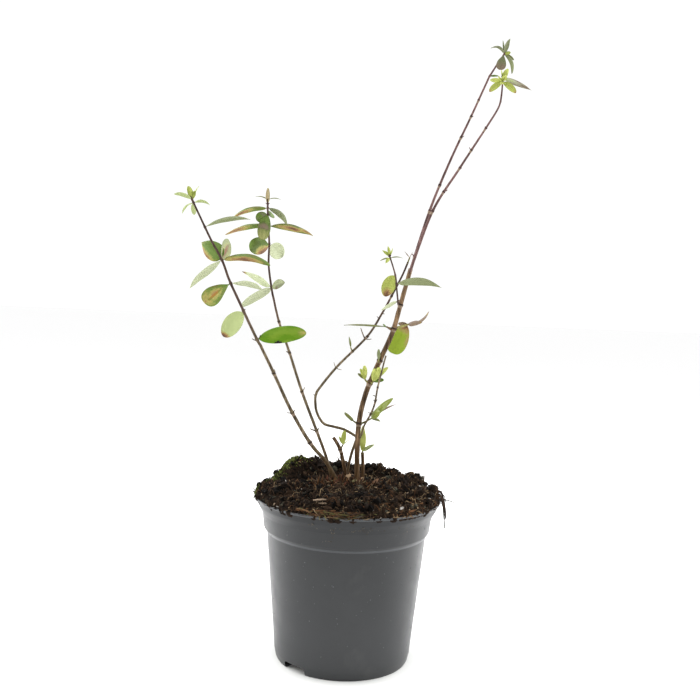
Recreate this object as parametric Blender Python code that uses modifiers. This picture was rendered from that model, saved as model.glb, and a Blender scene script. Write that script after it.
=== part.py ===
# Young potted hypericum: a sparse shrub of thin leaning stems in a round nursery pot.
#
# Frame: +Z up, +X to the viewer's right, -Y towards the viewer. The origin is the centre of
# the pot's underside. Sizes are written in millimetres and become metres through MM.
# The pot and its soil are turned shapes. Each limb is one tapering tube with a swelling at
# every node. Each leafy mass is one short stem with its leaves joined on.

import math
import random

import bmesh
import bpy
from mathutils import Vector

MM = 0.001
PLANT_NAME = "potted_hypericum"
CLEARANCE = 0.3

# Pot: a thin shell with a collar above a small step, and a rim that flares outwards.
POT_HEIGHT = 150.0
POT_WALL = 1.2
POT_FLOOR = 2.0
BASE_RADIUS = 60.0
BODY_TOP_RADIUS = 72.8
BODY_TOP = 117.5
COLLAR_FOOT_RADIUS = 75.8
COLLAR_FOOT = 121.5
COLLAR_TOP_RADIUS = 77.4
COLLAR_TOP = 134.5
RIM_RADIUS = 85.0
TURNED_STEPS = 48

# Drain notches through the foot of the wall, on one diameter.
NOTCH_AZIMUTHS = (-133.0, 47.0)
NOTCH_WIDTH = 25.0
NOTCH_HEIGHT = 6.8
NOTCH_REACH = 17.0
NOTCH_ROUNDING = 3.0

# Soil: a mound that stands above the rim, flat where the stems stand on it.
CROWN_HEIGHT = 160.0
CROWN_RADIUS = 22.0
SOIL_EDGE_HEIGHT = 149.0
SOIL_TOP_RINGS = 14
SOIL_ROUGHNESS = 0.9
CLOD_FADE_IN = 8.0
CLOD_FADE_OUT = 2.5
# Clods: x, y, height above the mound, radius
CLODS = (
    (-54.0, 24.0, 16.0, 16.0),
    (-34.0, 34.0, 15.0, 23.0),
    (-8.0, 52.0, 9.0, 22.0),
    (22.0, 50.0, 8.0, 18.0),
    (39.0, 42.0, 8.0, 13.0),
    (58.0, 28.0, 7.0, 16.0),
    (78.0, -4.0, 9.0, 9.0),
    (0.0, -58.0, 4.0, 24.0),
    (66.0, -34.0, 6.0, 16.0),
    (-62.0, -20.0, 3.0, 20.0),
)

# Limbs stand this far above the crown of the soil.
GROUND = CROWN_HEIGHT + CLEARANCE
NODE_SWELLING = 1.3
NODE_HALF_LENGTH = 1.6
FLARE = 1.45
FLARE_LENGTH = 6.0
LIMB_STATION = 11.0
TWIG_STATION = 9.0

# Limbs: the points that the middle line runs through, the radius at foot and tip, the
# heights of the nodes, and whether the foot stands on the soil.
LIMBS = {
    "outer_left_stem": (
        ((-8.5, -3.6, GROUND), (-20, -5, 180), (-36, -9, 199), (-54, -14, 229), (-71, -19, 264),
         (-82, -22.6, 286)),
        1.8, 1.28, (201, 228, 263), True),
    "inner_left_stem": (
        ((-14.2, 4.6, GROUND), (-21, 6, 183), (-31, 9, 207), (-46, 14, 242), (-59, 19, 277),
         (-70, 23, 305), (-76, 26, 326)),
        1.5, 1.05, (207, 242, 277, 305), True),
    "middle_stub": (
        ((-0.7, 0.4, GROUND), (-5, -1, 180), (-9, -4, 194), (-15, -6, 204)),
        1.8, 1.5, (193,), True),
    "bowed_stem_foot": (
        ((-3, 11, GROUND), (1.5, 11, 185), (5.6, 11.5, 201.3)),
        1.35, 1.25, (), True),
    "bowed_stem_low": (
        ((3.8, 11.8, 203.6), (-6, 12.5, 208.8), (-15, 13, 210.8), (-25, 14, 213.4),
         (-31.5, 14.8, 223), (-33.5, 15.5, 233.6)),
        1.25, 1.2, (), False),
    "bowed_stem_high": (
        ((-33.5, 15.6, 234.4), (-33, 15.7, 240), (-30, 16, 246), (-14, 18, 267), (12, 20, 295),
         (25, 22, 317), (33, 23, 333), (42, 25, 352), (47, 25.7, 365)),
        1.2, 0.95, (281, 295, 333), False),
    "main_stem": (
        ((8.1, -3.1, GROUND), (7, -2.5, 193), (7.5, -1, 217), (10.5, 0, 236), (15.8, 1, 254),
         (24.2, 2, 275), (31.3, 3, 292), (35.6, 3.5, 304), (40.8, 4, 326), (48.7, 6, 359)),
        2.4, 2.1, (217, 254, 275, 304, 326), True),
    "back_whip": (
        ((49.5, 7.8, 360.5), (64, 15, 412), (81, 23, 458), (99, 30, 500), (109, 34.4, 524),
         (114, 36.6, 536)),
        1.45, 0.9, (372, 412, 437, 481, 500, 516), False),
    "front_whip": (
        ((49.3, 4.2, 360.5), (65.5, -3, 411), (87, -11, 449), (107, -18, 483), (116, -22, 499),
         (118, -23.6, 506)),
        1.35, 0.8, (411, 431, 449, 467, 483), False),
    "right_stub": (
        ((13, 3.3, GROUND), (12.8, 2, 178), (11.8, 0.5, 190)),
        1.65, 1.5, (), True),
    "right_side_stem": (
        ((10.3, -4.4, 208), (12.3, -6.8, 216), (17.6, -8, 227), (21, -9, 237), (23, -11, 252),
         (27, -13, 272), (29, -14.3, 281)),
        0.95, 0.7, (227, 240, 252), False),
}

# Outlines of leaves: how fast the width rises from the stalk and falls towards the tip
SHAPES = {"oval": (0.55, 0.55), "egg": (0.50, 0.80), "spoon": (1.10, 0.45), "lance": (0.70, 0.95),
          "taper": (0.55, 1.05), "strap": (0.40, 0.60), "blunt": (0.60, 0.40)}
STALK_SHARE = 0.05
STALK_WIDTH = 1.3

# Leafy masses. Each has its own stem, the heights of its nodes, and its leaves.
# A leaf is: node number, azimuth, rise above level, length, width, arch, roll of the blade
# and outline. Angles are in degrees. The arch is the height of the bow over the length.
CROWNS = {
    "outer_left_crown": (
        ((-82.2, -22.7, 286.6), (-86, -24, 293), (-101, -30, 324), (-110, -33, 343),
         (-116.5, -36, 360), (-127, -39.5, 379), (-144, -45, 414)),
        1.28, 0.8, (292.0, 317.5, 341.0, 361.0, 388.0, 407.5, 410.5),
        ((0, -10, 10, 45, 15.5, 0.04, -72, "oval"),
         (1, 134, -42, 37, 16, 0.03, -52, "oval"),
         (2, -136, -33, 32, 16, 0.04, 66, "spoon"),
         (2, 29, -10, 31, 10, 0.10, 30, "lance"),
         (3, 142, 30, 30, 17, 0.05, 60, "egg"),
         (3, 78, 38, 25, 15, 0.10, 105, "oval"),
         (3, -9, -4, 43, 11.5, 0.12, -32, "strap"),
         (3, 161, -40, 40, 10, 0.05, -22, "lance"),
         (4, 16, 12, 40, 10, 0.10, 24, "lance"),
         (6, -132, 66, 12, 5, 0.05, 110, "oval"),
         (6, 56, 56, 15, 4, 0.08, 25, "lance"),
         (6, -159, 14, 16, 4.5, 0.12, -42, "oval"),
         (6, -10, 70, 8, 4.5, 0.05, -70, "oval"),
         (5, 148, -35, 16, 4, 0.18, 5, "strap"),
         (5, 18, -5, 14, 4.5, 0.20, 30, "lance"),
         (5, 96, -48, 13, 5, 0.05, -20, "oval"))),
    "inner_left_crown": (
        ((-76.1, 26.1, 326.6), (-78, 27, 334), (-82, 30, 357), (-82.5, 33, 378),
         (-85, 37, 404), (-86, 40, 425)),
        1.05, 0.8, (338.0, 377.5, 393.5, 405.0, 412.0, 418.5, 416.0),
        ((0, 157, -32, 38, 11.5, 0.02, -30, "strap"),
         (0, 153, 22, 36, 9, 0.03, -60, "taper"),
         (0, -53, 12, 23, 9, 0.05, -84, "egg"),
         (1, -129, -11, 26, 16, 0.04, 80, "oval"),
         (1, 62, -26, 25, 15, 0.05, 58, "oval"),
         (2, -5, -10, 43, 12, 0.09, -32, "lance"),
         (2, 174, -13, 42, 11, 0.09, 32, "strap"),
         (3, -97, -50, 31, 12, 0.06, 22, "blunt"),
         (3, -160, -30, 12, 11, 0.04, 78, "oval"),
         (3, 80, 0, 23, 8, 0.05, -60, "oval"),
         (4, -169, -18, 34, 9, 0.10, 32, "strap"),
         (4, 26, -37, 25, 9.5, 0.16, 20, "lance"),
         (5, 160, 11, 13, 2.4, 0.12, 20, "lance"),
         (5, -18, 2, 13, 2.4, 0.12, -24, "lance"),
         (6, -100, 82, 15, 4.0, 0.02, 10, "egg"),
         (6, 80, 84, 15, 3.6, 0.02, 10, "egg"))),
    "back_tip_rosette": (
        ((114.2, 36.7, 536.6), (115.4, 37, 539), (122.5, 38.8, 551), (128.5, 40, 560.5)),
        0.9, 0.75, (559.5, 538.5),
        ((0, -166, 16, 14.5, 4, 0.28, -17, "strap"),
         (0, 110, 74, 14, 3, 0.05, -20, "lance"),
         (0, 34, 66, 16.5, 5, 0.05, 92, "lance"),
         (0, -20, 10, 6, 4, 0.05, -70, "oval"),
         (0, -10, -30, 11, 3.4, 0.06, -75, "lance"),
         (0, -40, -64, 21, 4.2, 0.18, -34, "strap"),
         (0, -121, -66, 17, 9, 0.05, -150, "egg"),
         (1, -4, 2, 9, 2.4, 0.05, -60, "lance"))),
    "front_tip_rosette": (
        ((118.1, -23.7, 506.6), (118.5, -24.5, 513), (118.8, -25.2, 527)),
        0.85, 0.7, (523.0, 526.0),
        ((0, 29, 66, 13, 4.6, 0.05, -62, "oval"),
         (0, -80, 35, 8, 5, 0.05, 0, "oval"),
         (0, -100, -25, 8, 4.6, 0.05, 0, "oval"),
         (1, -5, -22, 27, 6, 0.02, -62, "taper"),
         (0, -28, -38, 16, 5.4, 0.05, -90, "oval"),
         (0, -156, -37, 16, 5.2, 0.05, 82, "oval"),
         (0, 158, 10, 11.5, 4.5, 0.05, 70, "oval"),
         (1, -120, 50, 7, 5, 0.05, 80, "oval"))),
    "centre_shoot": (
        ((38.4, 0.9, 328.2), (36.6, -3, 340), (34.5, -7, 353), (28, -12, 371)),
        0.85, 0.65, (329.5, 346.0, 368.0, 370.0, 353.0),
        ((4, 128, -56, 24, 12.5, 0.05, -50, "oval"),
         (1, 21, -3, 45, 10, 0.09, 48, "taper"),
         (0, -155, -27, 19, 6, 0.04, -50, "lance"),
         (3, -124, 66, 10, 3.4, 0.05, 110, "lance"),
         (3, 54, 60, 9, 3.4, 0.05, 30, "lance"),
         (3, 144, 32, 10, 3.2, 0.06, 40, "lance"),
         (2, -123, -32, 9, 3.2, 0.08, 60, "lance"),
         (2, 20, 2, 12, 2.0, 0.10, -30, "lance"),
         (2, -167, -18, 10, 2.2, 0.10, 30, "lance"))),
}

# Sprouts: the limb and height that they grow from, the azimuth, rise and length of their
# short twig, its radius, and their leaves, which all grow from the twig's end.
SPROUTS = {
    "main_leaf_right": (
        "main_stem", 305.5, (30, 14, 13.0), 1.2,
        ((130, -57, 34, 18, 0.04, -50, "blunt"),
         (-18, 12, 16, 6, 0.03, -50, "strap"),
         (-16, 32, 24, 5, -0.14, -35, "strap"))),
    "main_leaf_left": (
        "main_stem", 304.5, (178, 12, 4.0), 0.8,
        ((176, 0, 39, 8, 0.03, 8, "lance"),
         (-125, 20, 7, 3, 0.05, 60, "oval"))),
    "upper_bud_sprout": (
        "main_stem", 274.0, (-90, 40, 2.5), 0.8,
        ((-94, 72, 11, 3.2, 0.04, 10, "oval"),)),
    "middle_sprout_left": (
        "main_stem", 254.0, (-160, 45, 3.0), 0.9,
        ((-110, 72, 14, 5.5, 0.06, 125, "oval"),
         (165, 62, 11, 4.5, 0.08, 40, "oval"),
         (158, 34, 9, 4, 0.08, 30, "oval"))),
    "middle_sprout_right": (
        "main_stem", 254.0, (-40, 40, 3.0), 1.0,
        ((-14, 46, 19, 5, 0.05, -66, "oval"),
         (-44, 60, 16, 6, 0.04, -115, "oval"),
         (-70, 74, 13, 6, 0.04, -125, "oval"),
         (-16, 12, 10, 4.5, 0.08, -60, "oval"))),
    "low_sprout_left": (
        "main_stem", 217.5, (-165, 35, 3.0), 0.9,
        ((-161, 38, 12, 4, 0.04, 60, "strap"),
         (172, 40, 13, 2.6, 0.08, 20, "lance"))),
    "low_shoot_right": (
        "main_stem", 217.5, (-25, 30, 11.0), 0.9,
        ((-12, 46, 28, 6, 0.03, -80, "strap"),
         (2, 32, 26, 3, 0.06, -30, "lance"),
         (-36, 40, 12, 7, 0.05, -90, "oval"),
         (-30, -10, 10, 3, 0.10, -40, "lance"))),
    "stub_sprout": (
        "right_stub", None, (100, 60, 3.0), 1.0,
        ((100, 85, 21, 6, 0.03, 35, "strap"),
         (60, 80, 17, 5, 0.03, -30, "strap"),
         (-14, 34, 13, 4, 0.05, -60, "lance"))),
    "middle_stub_sprout": (
        "middle_stub", 194.0, (-30, 60, 3.0), 0.8,
        ((-60, 80, 14, 4.6, 0.03, 30, "oval"),
         (170, 60, 9, 3.4, 0.05, 40, "lance"),
         (10, 40, 8, 3, 0.05, 0, "lance"))),
    "bowed_tip_leaf": (
        "bowed_stem_high", None, (40, 65, 4.0), 0.8,
        ((-155, 45, 8, 2.6, 0.03, 40, "lance"),
         (30, 60, 6, 2.4, 0.03, 40, "lance"))),
    "bowed_bud_sprout": (
        "bowed_stem_high", 281.0, (-140, 60, 2.5), 0.7,
        ((-142, 76, 11, 2.0, 0.02, 120, "lance"),)),
}

# Colours, as red, green, blue, then the roughness.
POT_FINISH = ((0.085, 0.085, 0.09), 0.42)
SOIL_FINISH = ((0.035, 0.024, 0.017), 0.95)
BARK_FINISH = ((0.16, 0.075, 0.045), 0.70)
WHIP_FINISH = ((0.19, 0.070, 0.065), 0.60)
LEAF_FINISH = ((0.20, 0.34, 0.10), 0.50)
TIP_FINISH = ((0.42, 0.52, 0.10), 0.50)

WHIPS = ("back_whip", "front_whip", "right_side_stem")
PALE_MASSES = ("front_tip_rosette", "stub_sprout", "middle_sprout_right", "middle_stub_sprout")


def clear_scene():
    """Removes every object, so that the file holds the plant alone."""
    for item in list(bpy.data.objects):
        bpy.data.objects.remove(item, do_unlink=True)


def make_collection(name):
    """A new collection under the scene's own."""
    collection = bpy.data.collections.new(name)
    bpy.context.scene.collection.children.link(collection)
    return collection


def make_material(name, finish):
    """A plain Principled material from a colour and a roughness."""
    colour, roughness = finish
    material = bpy.data.materials.new(name)
    material.use_nodes = True
    shader = material.node_tree.nodes["Principled BSDF"]
    shader.inputs["Base Color"].default_value = (*colour, 1.0)
    shader.inputs["Roughness"].default_value = roughness
    material.diffuse_color = (*colour, 1.0)
    return material


def add_object(name, data, collection, material=None):
    """An object of its own in the collection, with one material slot."""
    item = bpy.data.objects.new(name, data)
    collection.objects.link(item)
    if material is not None:
        data.materials.append(material)
    return item


def evaluated_mesh(item):
    """The object's evaluated shape as a plain mesh."""
    graph = bpy.context.evaluated_depsgraph_get()
    return bpy.data.meshes.new_from_object(item.evaluated_get(graph))


def as_mesh(item):
    """The object's evaluated shape as a plain mesh, with its caps and seams welded."""
    mesh = evaluated_mesh(item)
    work = bmesh.new()
    work.from_mesh(mesh)
    bmesh.ops.remove_doubles(work, verts=work.verts, dist=0.00001)
    bmesh.ops.recalc_face_normals(work, faces=work.faces)
    work.to_mesh(mesh)
    work.free()
    return mesh


def direction(azimuth, rise):
    """The unit vector of an azimuth from +X and a rise above level, in degrees."""
    turn, lift = math.radians(azimuth), math.radians(rise)
    return Vector((math.cos(lift) * math.cos(turn), math.cos(lift) * math.sin(turn), math.sin(lift)))


# Pot and soil

def pot_outline():
    """The outer side of the pot from the rim's top down to the base, as radius and height."""
    flare = RIM_RADIUS - COLLAR_TOP_RADIUS
    rise = POT_HEIGHT - 1.0 - COLLAR_TOP
    outline = [(RIM_RADIUS, POT_HEIGHT), (RIM_RADIUS, POT_HEIGHT - 1.0)]
    for share_out, share_up in ((0.90, 0.80), (0.63, 0.55), (0.26, 0.28)):
        outline.append((COLLAR_TOP_RADIUS + share_out * flare, COLLAR_TOP + share_up * rise))
    outline += [
        (COLLAR_TOP_RADIUS, COLLAR_TOP),
        (COLLAR_FOOT_RADIUS, COLLAR_FOOT),
        (BODY_TOP_RADIUS, BODY_TOP),
        (BASE_RADIUS + 2.4, 8.0),
        (BASE_RADIUS + 1.2, 2.0),
        (BASE_RADIUS, 0.0),
    ]
    return outline


def inner_outline(distance):
    """The pot's outline moved inwards by a distance, ending on a floor that much thicker."""
    outer = pot_outline()
    floor = POT_FLOOR + distance - POT_WALL
    inner = []
    for index, (radius, height) in enumerate(outer[:-1]):
        above = outer[max(index - 1, 0)]
        below = outer[index + 1]
        slope = Vector((above[0] - below[0], above[1] - below[1])).normalized()
        inner.append((radius - slope.y * distance, height + slope.x * distance))
    inner = [point for point in inner if point[1] > floor + 1.0]
    inner.append((inner[-1][0] - 0.5, floor))
    return inner


def turned_object(name, outline, collection, material=None):
    """A solid of revolution from an outline that runs from the axis down to the axis."""
    mesh = bpy.data.meshes.new(name)
    verts = [(radius * MM, 0.0, height * MM) for radius, height in outline]
    mesh.from_pydata(verts, [(i, i + 1) for i in range(len(verts) - 1)], [])
    item = add_object(name, mesh, collection, material)
    screw = item.modifiers.new("turn", "SCREW")
    screw.steps = TURNED_STEPS
    screw.render_steps = TURNED_STEPS
    screw.use_merge_vertices = True
    screw.merge_threshold = 0.00001
    return item


def notch_block(name, azimuth, grow, collection):
    """A block with rounded upper edges that reaches in from the pot's foot."""
    work = bmesh.new()
    bmesh.ops.create_cube(work, size=1.0)
    low, high = -2.0, NOTCH_HEIGHT + grow
    inner, outer = BASE_RADIUS - NOTCH_REACH - grow, BASE_RADIUS + 12.0
    half = NOTCH_WIDTH / 2 + grow
    for vert in work.verts:
        vert.co.x = (outer if vert.co.x > 0 else inner) * MM
        vert.co.y = (half if vert.co.y > 0 else -half) * MM
        vert.co.z = (high if vert.co.z > 0 else low) * MM
    upper = [e for e in work.edges if all(v.co.z > 0 for v in e.verts)
             and abs(e.verts[0].co.x - e.verts[1].co.x) > MM]
    bmesh.ops.bevel(work, geom=upper, offset=(NOTCH_ROUNDING + grow) * MM, segments=3,
                    affect="EDGES", profile=0.5)
    mesh = bpy.data.meshes.new(name)
    work.to_mesh(mesh)
    work.free()
    block = add_object(name, mesh, collection)
    block.rotation_euler.z = math.radians(azimuth)
    block.hide_render = True
    block.display_type = "WIRE"
    return block


def cut(item, cutter):
    """Takes the cutter's shape out of the item."""
    boolean = item.modifiers.new("cut_" + cutter.name, "BOOLEAN")
    boolean.operation = "DIFFERENCE"
    boolean.solver = "EXACT"
    boolean.object = cutter


def make_pot(collection, cutters):
    """The thin pot: a turned solid, less its hollow, less the drain notches."""
    material = make_material("pot_plastic", POT_FINISH)
    outer = [(0.0, POT_HEIGHT)] + pot_outline() + [(0.0, 0.0)]
    pot = turned_object("pot", outer, collection, material)
    hollow_line = inner_outline(POT_WALL)
    top_radius = hollow_line[0][0]
    hollow_line = [(0.0, POT_HEIGHT + 4.0), (top_radius, POT_HEIGHT + 4.0)] + hollow_line
    hollow_line.append((0.0, POT_FLOOR))
    hollow = turned_object("pot_hollow", hollow_line, cutters)
    hollow.hide_render = True
    hollow.display_type = "WIRE"
    for index, azimuth in enumerate(NOTCH_AZIMUTHS):
        cut(hollow, notch_block(f"notch_roof_{index}", azimuth, POT_WALL, cutters))
    cut(pot, hollow)
    for index, azimuth in enumerate(NOTCH_AZIMUTHS):
        cut(pot, notch_block(f"notch_{index}", azimuth, 0.0, cutters))
    pot.data.shade_smooth()
    pot.data.set_sharp_from_angle(angle=math.radians(30))
    return pot


def clamp(value, low=0.0, high=1.0):
    """The value kept between two limits."""
    return min(max(value, low), high)


def mound_height(x, y, edge):
    """How high the soil stands over its even mound at a place, from clods and roughness."""
    reach = math.hypot(x, y)
    fade = clamp((reach - CROWN_RADIUS) / CLOD_FADE_IN) * clamp((edge - reach) / CLOD_FADE_OUT)
    lift = 0.0
    for clod_x, clod_y, height, radius in CLODS:
        share = math.hypot(x - clod_x, y - clod_y) / radius
        if share < 1.0:
            lift += height * (1.0 - share * share) ** 1.2
    waves = math.sin(x * 0.43 + 1.3) * math.sin(y * 0.37 + 0.4) + 0.6 * math.sin(x * 0.19 - y * 0.71)
    return fade * (lift + SOIL_ROUGHNESS * waves)


def make_soil(collection, cutters):
    """The soil: it fills the pot up to the clearance and rises in a mound above the rim."""
    material = make_material("potting_soil", SOIL_FINISH)
    wall = inner_outline(POT_WALL + CLEARANCE)
    edge = wall[0][0]
    top = [(0.0, CROWN_HEIGHT), (CROWN_RADIUS / 2, CROWN_HEIGHT), (CROWN_RADIUS, CROWN_HEIGHT)]
    rise = CROWN_HEIGHT - SOIL_EDGE_HEIGHT
    for step in range(1, SOIL_TOP_RINGS):
        share = 1.0 - (1.0 - step / SOIL_TOP_RINGS) ** 1.5
        radius = CROWN_RADIUS + (edge - CROWN_RADIUS) * share
        top.append((radius, SOIL_EDGE_HEIGHT + rise * (1.0 - share ** 3.2) ** 0.55))
    wall[0] = (edge, SOIL_EDGE_HEIGHT)
    wall = [wall[0]] + [point for point in wall[1:] if point[1] < SOIL_EDGE_HEIGHT - 1.0]
    line = top + wall + [(0.0, wall[-1][1])]
    turned = turned_object("soil_blank", line, cutters)
    mesh = as_mesh(turned)
    bpy.data.objects.remove(turned, do_unlink=True)
    for vert in mesh.vertices:
        if vert.co.z > (SOIL_EDGE_HEIGHT + 0.5) * MM:
            vert.co.z += mound_height(vert.co.x / MM, vert.co.y / MM, edge) * MM
    soil = add_object("soil", mesh, collection, material)
    for index, azimuth in enumerate(NOTCH_AZIMUTHS):
        roof = notch_block(f"soil_notch_{index}", azimuth, POT_WALL + CLEARANCE, cutters)
        cut(soil, roof)
    return soil


# Limbs

def smooth_course(points, pieces=12):
    """A smooth middle line through the points, close enough for its length to be measured."""
    spots = [Vector(point) for point in points]
    line = []
    for index in range(len(spots) - 1):
        before = spots[max(index - 1, 0)]
        start, end = spots[index], spots[index + 1]
        after = spots[min(index + 2, len(spots) - 1)]
        for piece in range(pieces):
            t = piece / pieces
            line.append(0.5 * (2 * start + (end - before) * t
                               + (2 * before - 5 * start + 4 * end - after) * t * t
                               + (3 * start - before - 3 * end + after) * t ** 3))
    line.append(spots[-1])
    return line


def distances_along(line):
    """The distance from the foot at each point of a line."""
    along = [0.0]
    for before, after in zip(line, line[1:]):
        along.append(along[-1] + (after - before).length)
    return along


def spot_at(line, along, distance):
    """The point and the direction of a line at a distance from its foot."""
    distance = clamp(distance, 0.0, along[-1])
    index = next(i for i in range(1, len(line)) if along[i] >= distance - 1e-9)
    start, end = line[index - 1], line[index]
    share = (distance - along[index - 1]) / max(along[index] - along[index - 1], 1e-9)
    return start.lerp(end, share), (end - start).normalized()


def distance_at_height(line, along, height):
    """The distance from the foot at which a line last passes a height."""
    passed = [d for d, point in zip(along, line) if point.z <= height]
    return passed[-1] if passed else 0.0


def radius_along(share, foot_radius, tip_radius):
    """A limb's even taper."""
    return foot_radius + (tip_radius - foot_radius) * share


def limb_curve(name, points, foot_radius, tip_radius, node_heights, station, stands, collection):
    """One tapering limb as a bevelled curve with filled caps and a swelling at every node.
    A limb that stands on the soil flares at its foot and starts straight up, so that its
    foot is cut level."""
    line = smooth_course(points)
    along = distances_along(line)
    length = along[-1]
    count = max(2, round(length / station))
    marks = {length * index / count: 1.0 for index in range(count + 1)}
    for height in node_heights:
        middle = distance_at_height(line, along, height)
        for mark in [m for m in marks if 0.0 < m < length and abs(m - middle) < 2.5 * NODE_HALF_LENGTH]:
            del marks[mark]
        for shift, swelling in ((-1, 1.0), (0, NODE_SWELLING), (1, 1.0)):
            marks[middle + shift * NODE_HALF_LENGTH] = swelling
    if stands:
        marks[FLARE_LENGTH * 0.4] = 1.0
        marks[FLARE_LENGTH] = 1.0
    rows = []
    for mark in sorted(marks):
        point, _ = spot_at(line, along, mark)
        flare = 1.0 + (FLARE - 1.0) * max(0.0, 1.0 - mark / FLARE_LENGTH) if stands else 1.0
        rows.append((point, radius_along(mark / length, foot_radius, tip_radius) * marks[mark] * flare))
    if stands:
        rows[1] = (Vector((rows[0][0].x, rows[0][0].y, rows[1][0].z)), rows[1][1])
    curve = bpy.data.curves.new(name, "CURVE")
    curve.dimensions = "3D"
    curve.bevel_depth = foot_radius * MM
    curve.bevel_resolution = 2
    curve.use_fill_caps = True
    spline = curve.splines.new("POLY")
    spline.points.add(len(rows) - 1)
    for spot, (point, radius) in zip(spline.points, rows):
        spot.co = (*(point * MM), 1.0)
        spot.radius = radius / foot_radius
    return add_object(name, curve, collection)


def make_limb(name, collection, bark, whip_bark):
    """A limb of the plant from the table of limbs."""
    points, foot_radius, tip_radius, nodes, stands = LIMBS[name]
    limb = limb_curve(name, points, foot_radius, tip_radius, nodes, LIMB_STATION, stands, collection)
    limb.data.materials.append(whip_bark if name in WHIPS else bark)
    return limb


# Leaves and leafy masses

def leaf_width(share, width, shape):
    """The width of a leaf at a share of its length: a short stalk, then a blade."""
    rise, fall = SHAPES[shape]
    peak = rise / (rise + fall)
    widest = peak ** rise * (1.0 - peak) ** fall
    part = clamp((share - STALK_SHARE) / (1.0 - STALK_SHARE))
    blade = width * part ** rise * (1.0 - part) ** fall / widest
    return max(blade, STALK_WIDTH) if share < 0.1 else blade


def leaf_object(name, root, leaf, collection):
    """One leaf: a sphere drawn out into a thin blade, folded at the midrib and bowed."""
    _, azimuth, rise, length, width, arch, roll, shape = leaf
    chord = direction(azimuth, rise)
    level_side = chord.cross(Vector((0.0, 0.0, 1.0))).normalized()
    upward = level_side.cross(chord)
    thickness = 0.35 + length / 100
    work = bmesh.new()
    bmesh.ops.create_uvsphere(work, u_segments=4, v_segments=7, radius=1.0)
    for vert in work.verts:
        share = (1.0 + vert.co.z) / 2
        bow = 4 * arch * length * share * (1.0 - share)
        tangent = (chord + upward * 4 * arch * (1.0 - 2 * share)).normalized()
        lifted = level_side.cross(tangent)
        turn = math.radians(roll)
        side = level_side * math.cos(turn) + lifted * math.sin(turn)
        face = side.cross(tangent)
        spread = leaf_width(share, width, shape) / 2
        across = round(vert.co.x, 3)
        above = round(vert.co.y, 3)
        middle = root + chord * length * share + upward * bow
        offset = Vector((0.0, 0.0, 0.0))
        if abs(vert.co.z) < 0.999:
            if abs(across) > abs(above):
                offset = side * math.copysign(spread, across)
            else:
                fold = 0.0 if share < 0.1 else 0.2 * spread
                offset = face * (math.copysign(thickness / 2, above) - fold)
        vert.co = (middle + offset) * MM
    bmesh.ops.recalc_face_normals(work, faces=work.faces)
    mesh = bpy.data.meshes.new(name)
    work.to_mesh(mesh)
    work.free()
    return add_object(name, mesh, collection)


def largest_body(mesh):
    """Keeps the biggest connected body of a mesh and drops loose scraps."""
    work = bmesh.new()
    work.from_mesh(mesh)
    left = set(work.verts)
    bodies = []
    while left:
        body, queue = set(), [left.pop()]
        while queue:
            vert = queue.pop()
            body.add(vert)
            for edge in vert.link_edges:
                other = edge.other_vert(vert)
                if other in left:
                    left.remove(other)
                    queue.append(other)
        bodies.append(body)
    bodies.sort(key=len)
    for body in bodies[:-1]:
        bmesh.ops.delete(work, geom=list(body), context="VERTS")
    work.to_mesh(mesh)
    work.free()


def join_mass(name, stem, leaves, cutters, collection, material):
    """Joins a mass's stem and its leaves into one body with one union."""
    mass = add_object(name, as_mesh(stem), collection, material)
    bpy.data.objects.remove(stem, do_unlink=True)
    blades = bpy.data.collections.new(name + "_leaves")
    cutters.children.link(blades)
    for root, leaf, number in leaves:
        leaf_object(f"{name}_leaf_{number}", root, leaf, blades)
    union = mass.modifiers.new("join", "BOOLEAN")
    union.operation = "UNION"
    union.operand_type = "COLLECTION"
    union.solver = "EXACT"
    union.collection = blades
    joined = evaluated_mesh(mass)
    largest_body(joined)
    mass.modifiers.clear()
    mass.data = joined
    for blade in list(blades.objects):
        bpy.data.objects.remove(blade, do_unlink=True)
    bpy.data.collections.remove(blades)
    return mass


def make_crown(name, collection, cutters, material):
    """A leafy mass that carries a limb on to its tip."""
    points, foot_radius, tip_radius, nodes, leaves = CROWNS[name]
    stem = limb_curve(name + "_stem", points, foot_radius, tip_radius, (), TWIG_STATION, False, cutters)
    line = smooth_course(points)
    along = distances_along(line)
    dice = random.Random(name)
    placed = []
    for number, leaf in enumerate(leaves):
        root, _ = spot_at(line, along, distance_at_height(line, along, nodes[leaf[0]]))
        jitter = Vector([dice.uniform(-0.12, 0.12) for _ in range(3)])
        placed.append((root + jitter, leaf, number))
    return join_mass(name, stem, placed, cutters, collection, material)


def make_sprout(name, collection, cutters, material):
    """A small leafy mass on a short twig that starts the clearance away from its limb.
    Without a height it grows from the limb's cut end."""
    limb_name, height, (azimuth, rise, length), radius, leaves = SPROUTS[name]
    points, foot_radius, tip_radius, _, _ = LIMBS[limb_name]
    line = smooth_course(points)
    along = distances_along(line)
    heading = direction(azimuth, rise)
    if height is None:
        middle, tangent = spot_at(line, along, along[-1])
        start = middle + tangent * (CLEARANCE + 0.2) + heading * radius * math.sin(tangent.angle(heading))
    else:
        distance = distance_at_height(line, along, height)
        middle, tangent = spot_at(line, along, distance)
        limb_radius = radius_along(distance / along[-1], foot_radius, tip_radius) * NODE_SWELLING
        outward = (heading - tangent * heading.dot(tangent)).normalized()
        lean = abs(heading.dot(tangent))
        start = middle + outward * (limb_radius + CLEARANCE + radius * lean + 0.1)
    end = start + heading * length
    twig = limb_curve(name + "_stem", (start, end), radius, radius * 0.8, (), TWIG_STATION, False, cutters)
    dice = random.Random(name)
    placed = []
    for number, leaf in enumerate(leaves):
        jitter = Vector([dice.uniform(-0.12, 0.12) for _ in range(3)])
        placed.append((end - heading * radius * 0.6 + jitter, (0, *leaf), number))
    return join_mass(name, twig, placed, cutters, collection, material)


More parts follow.
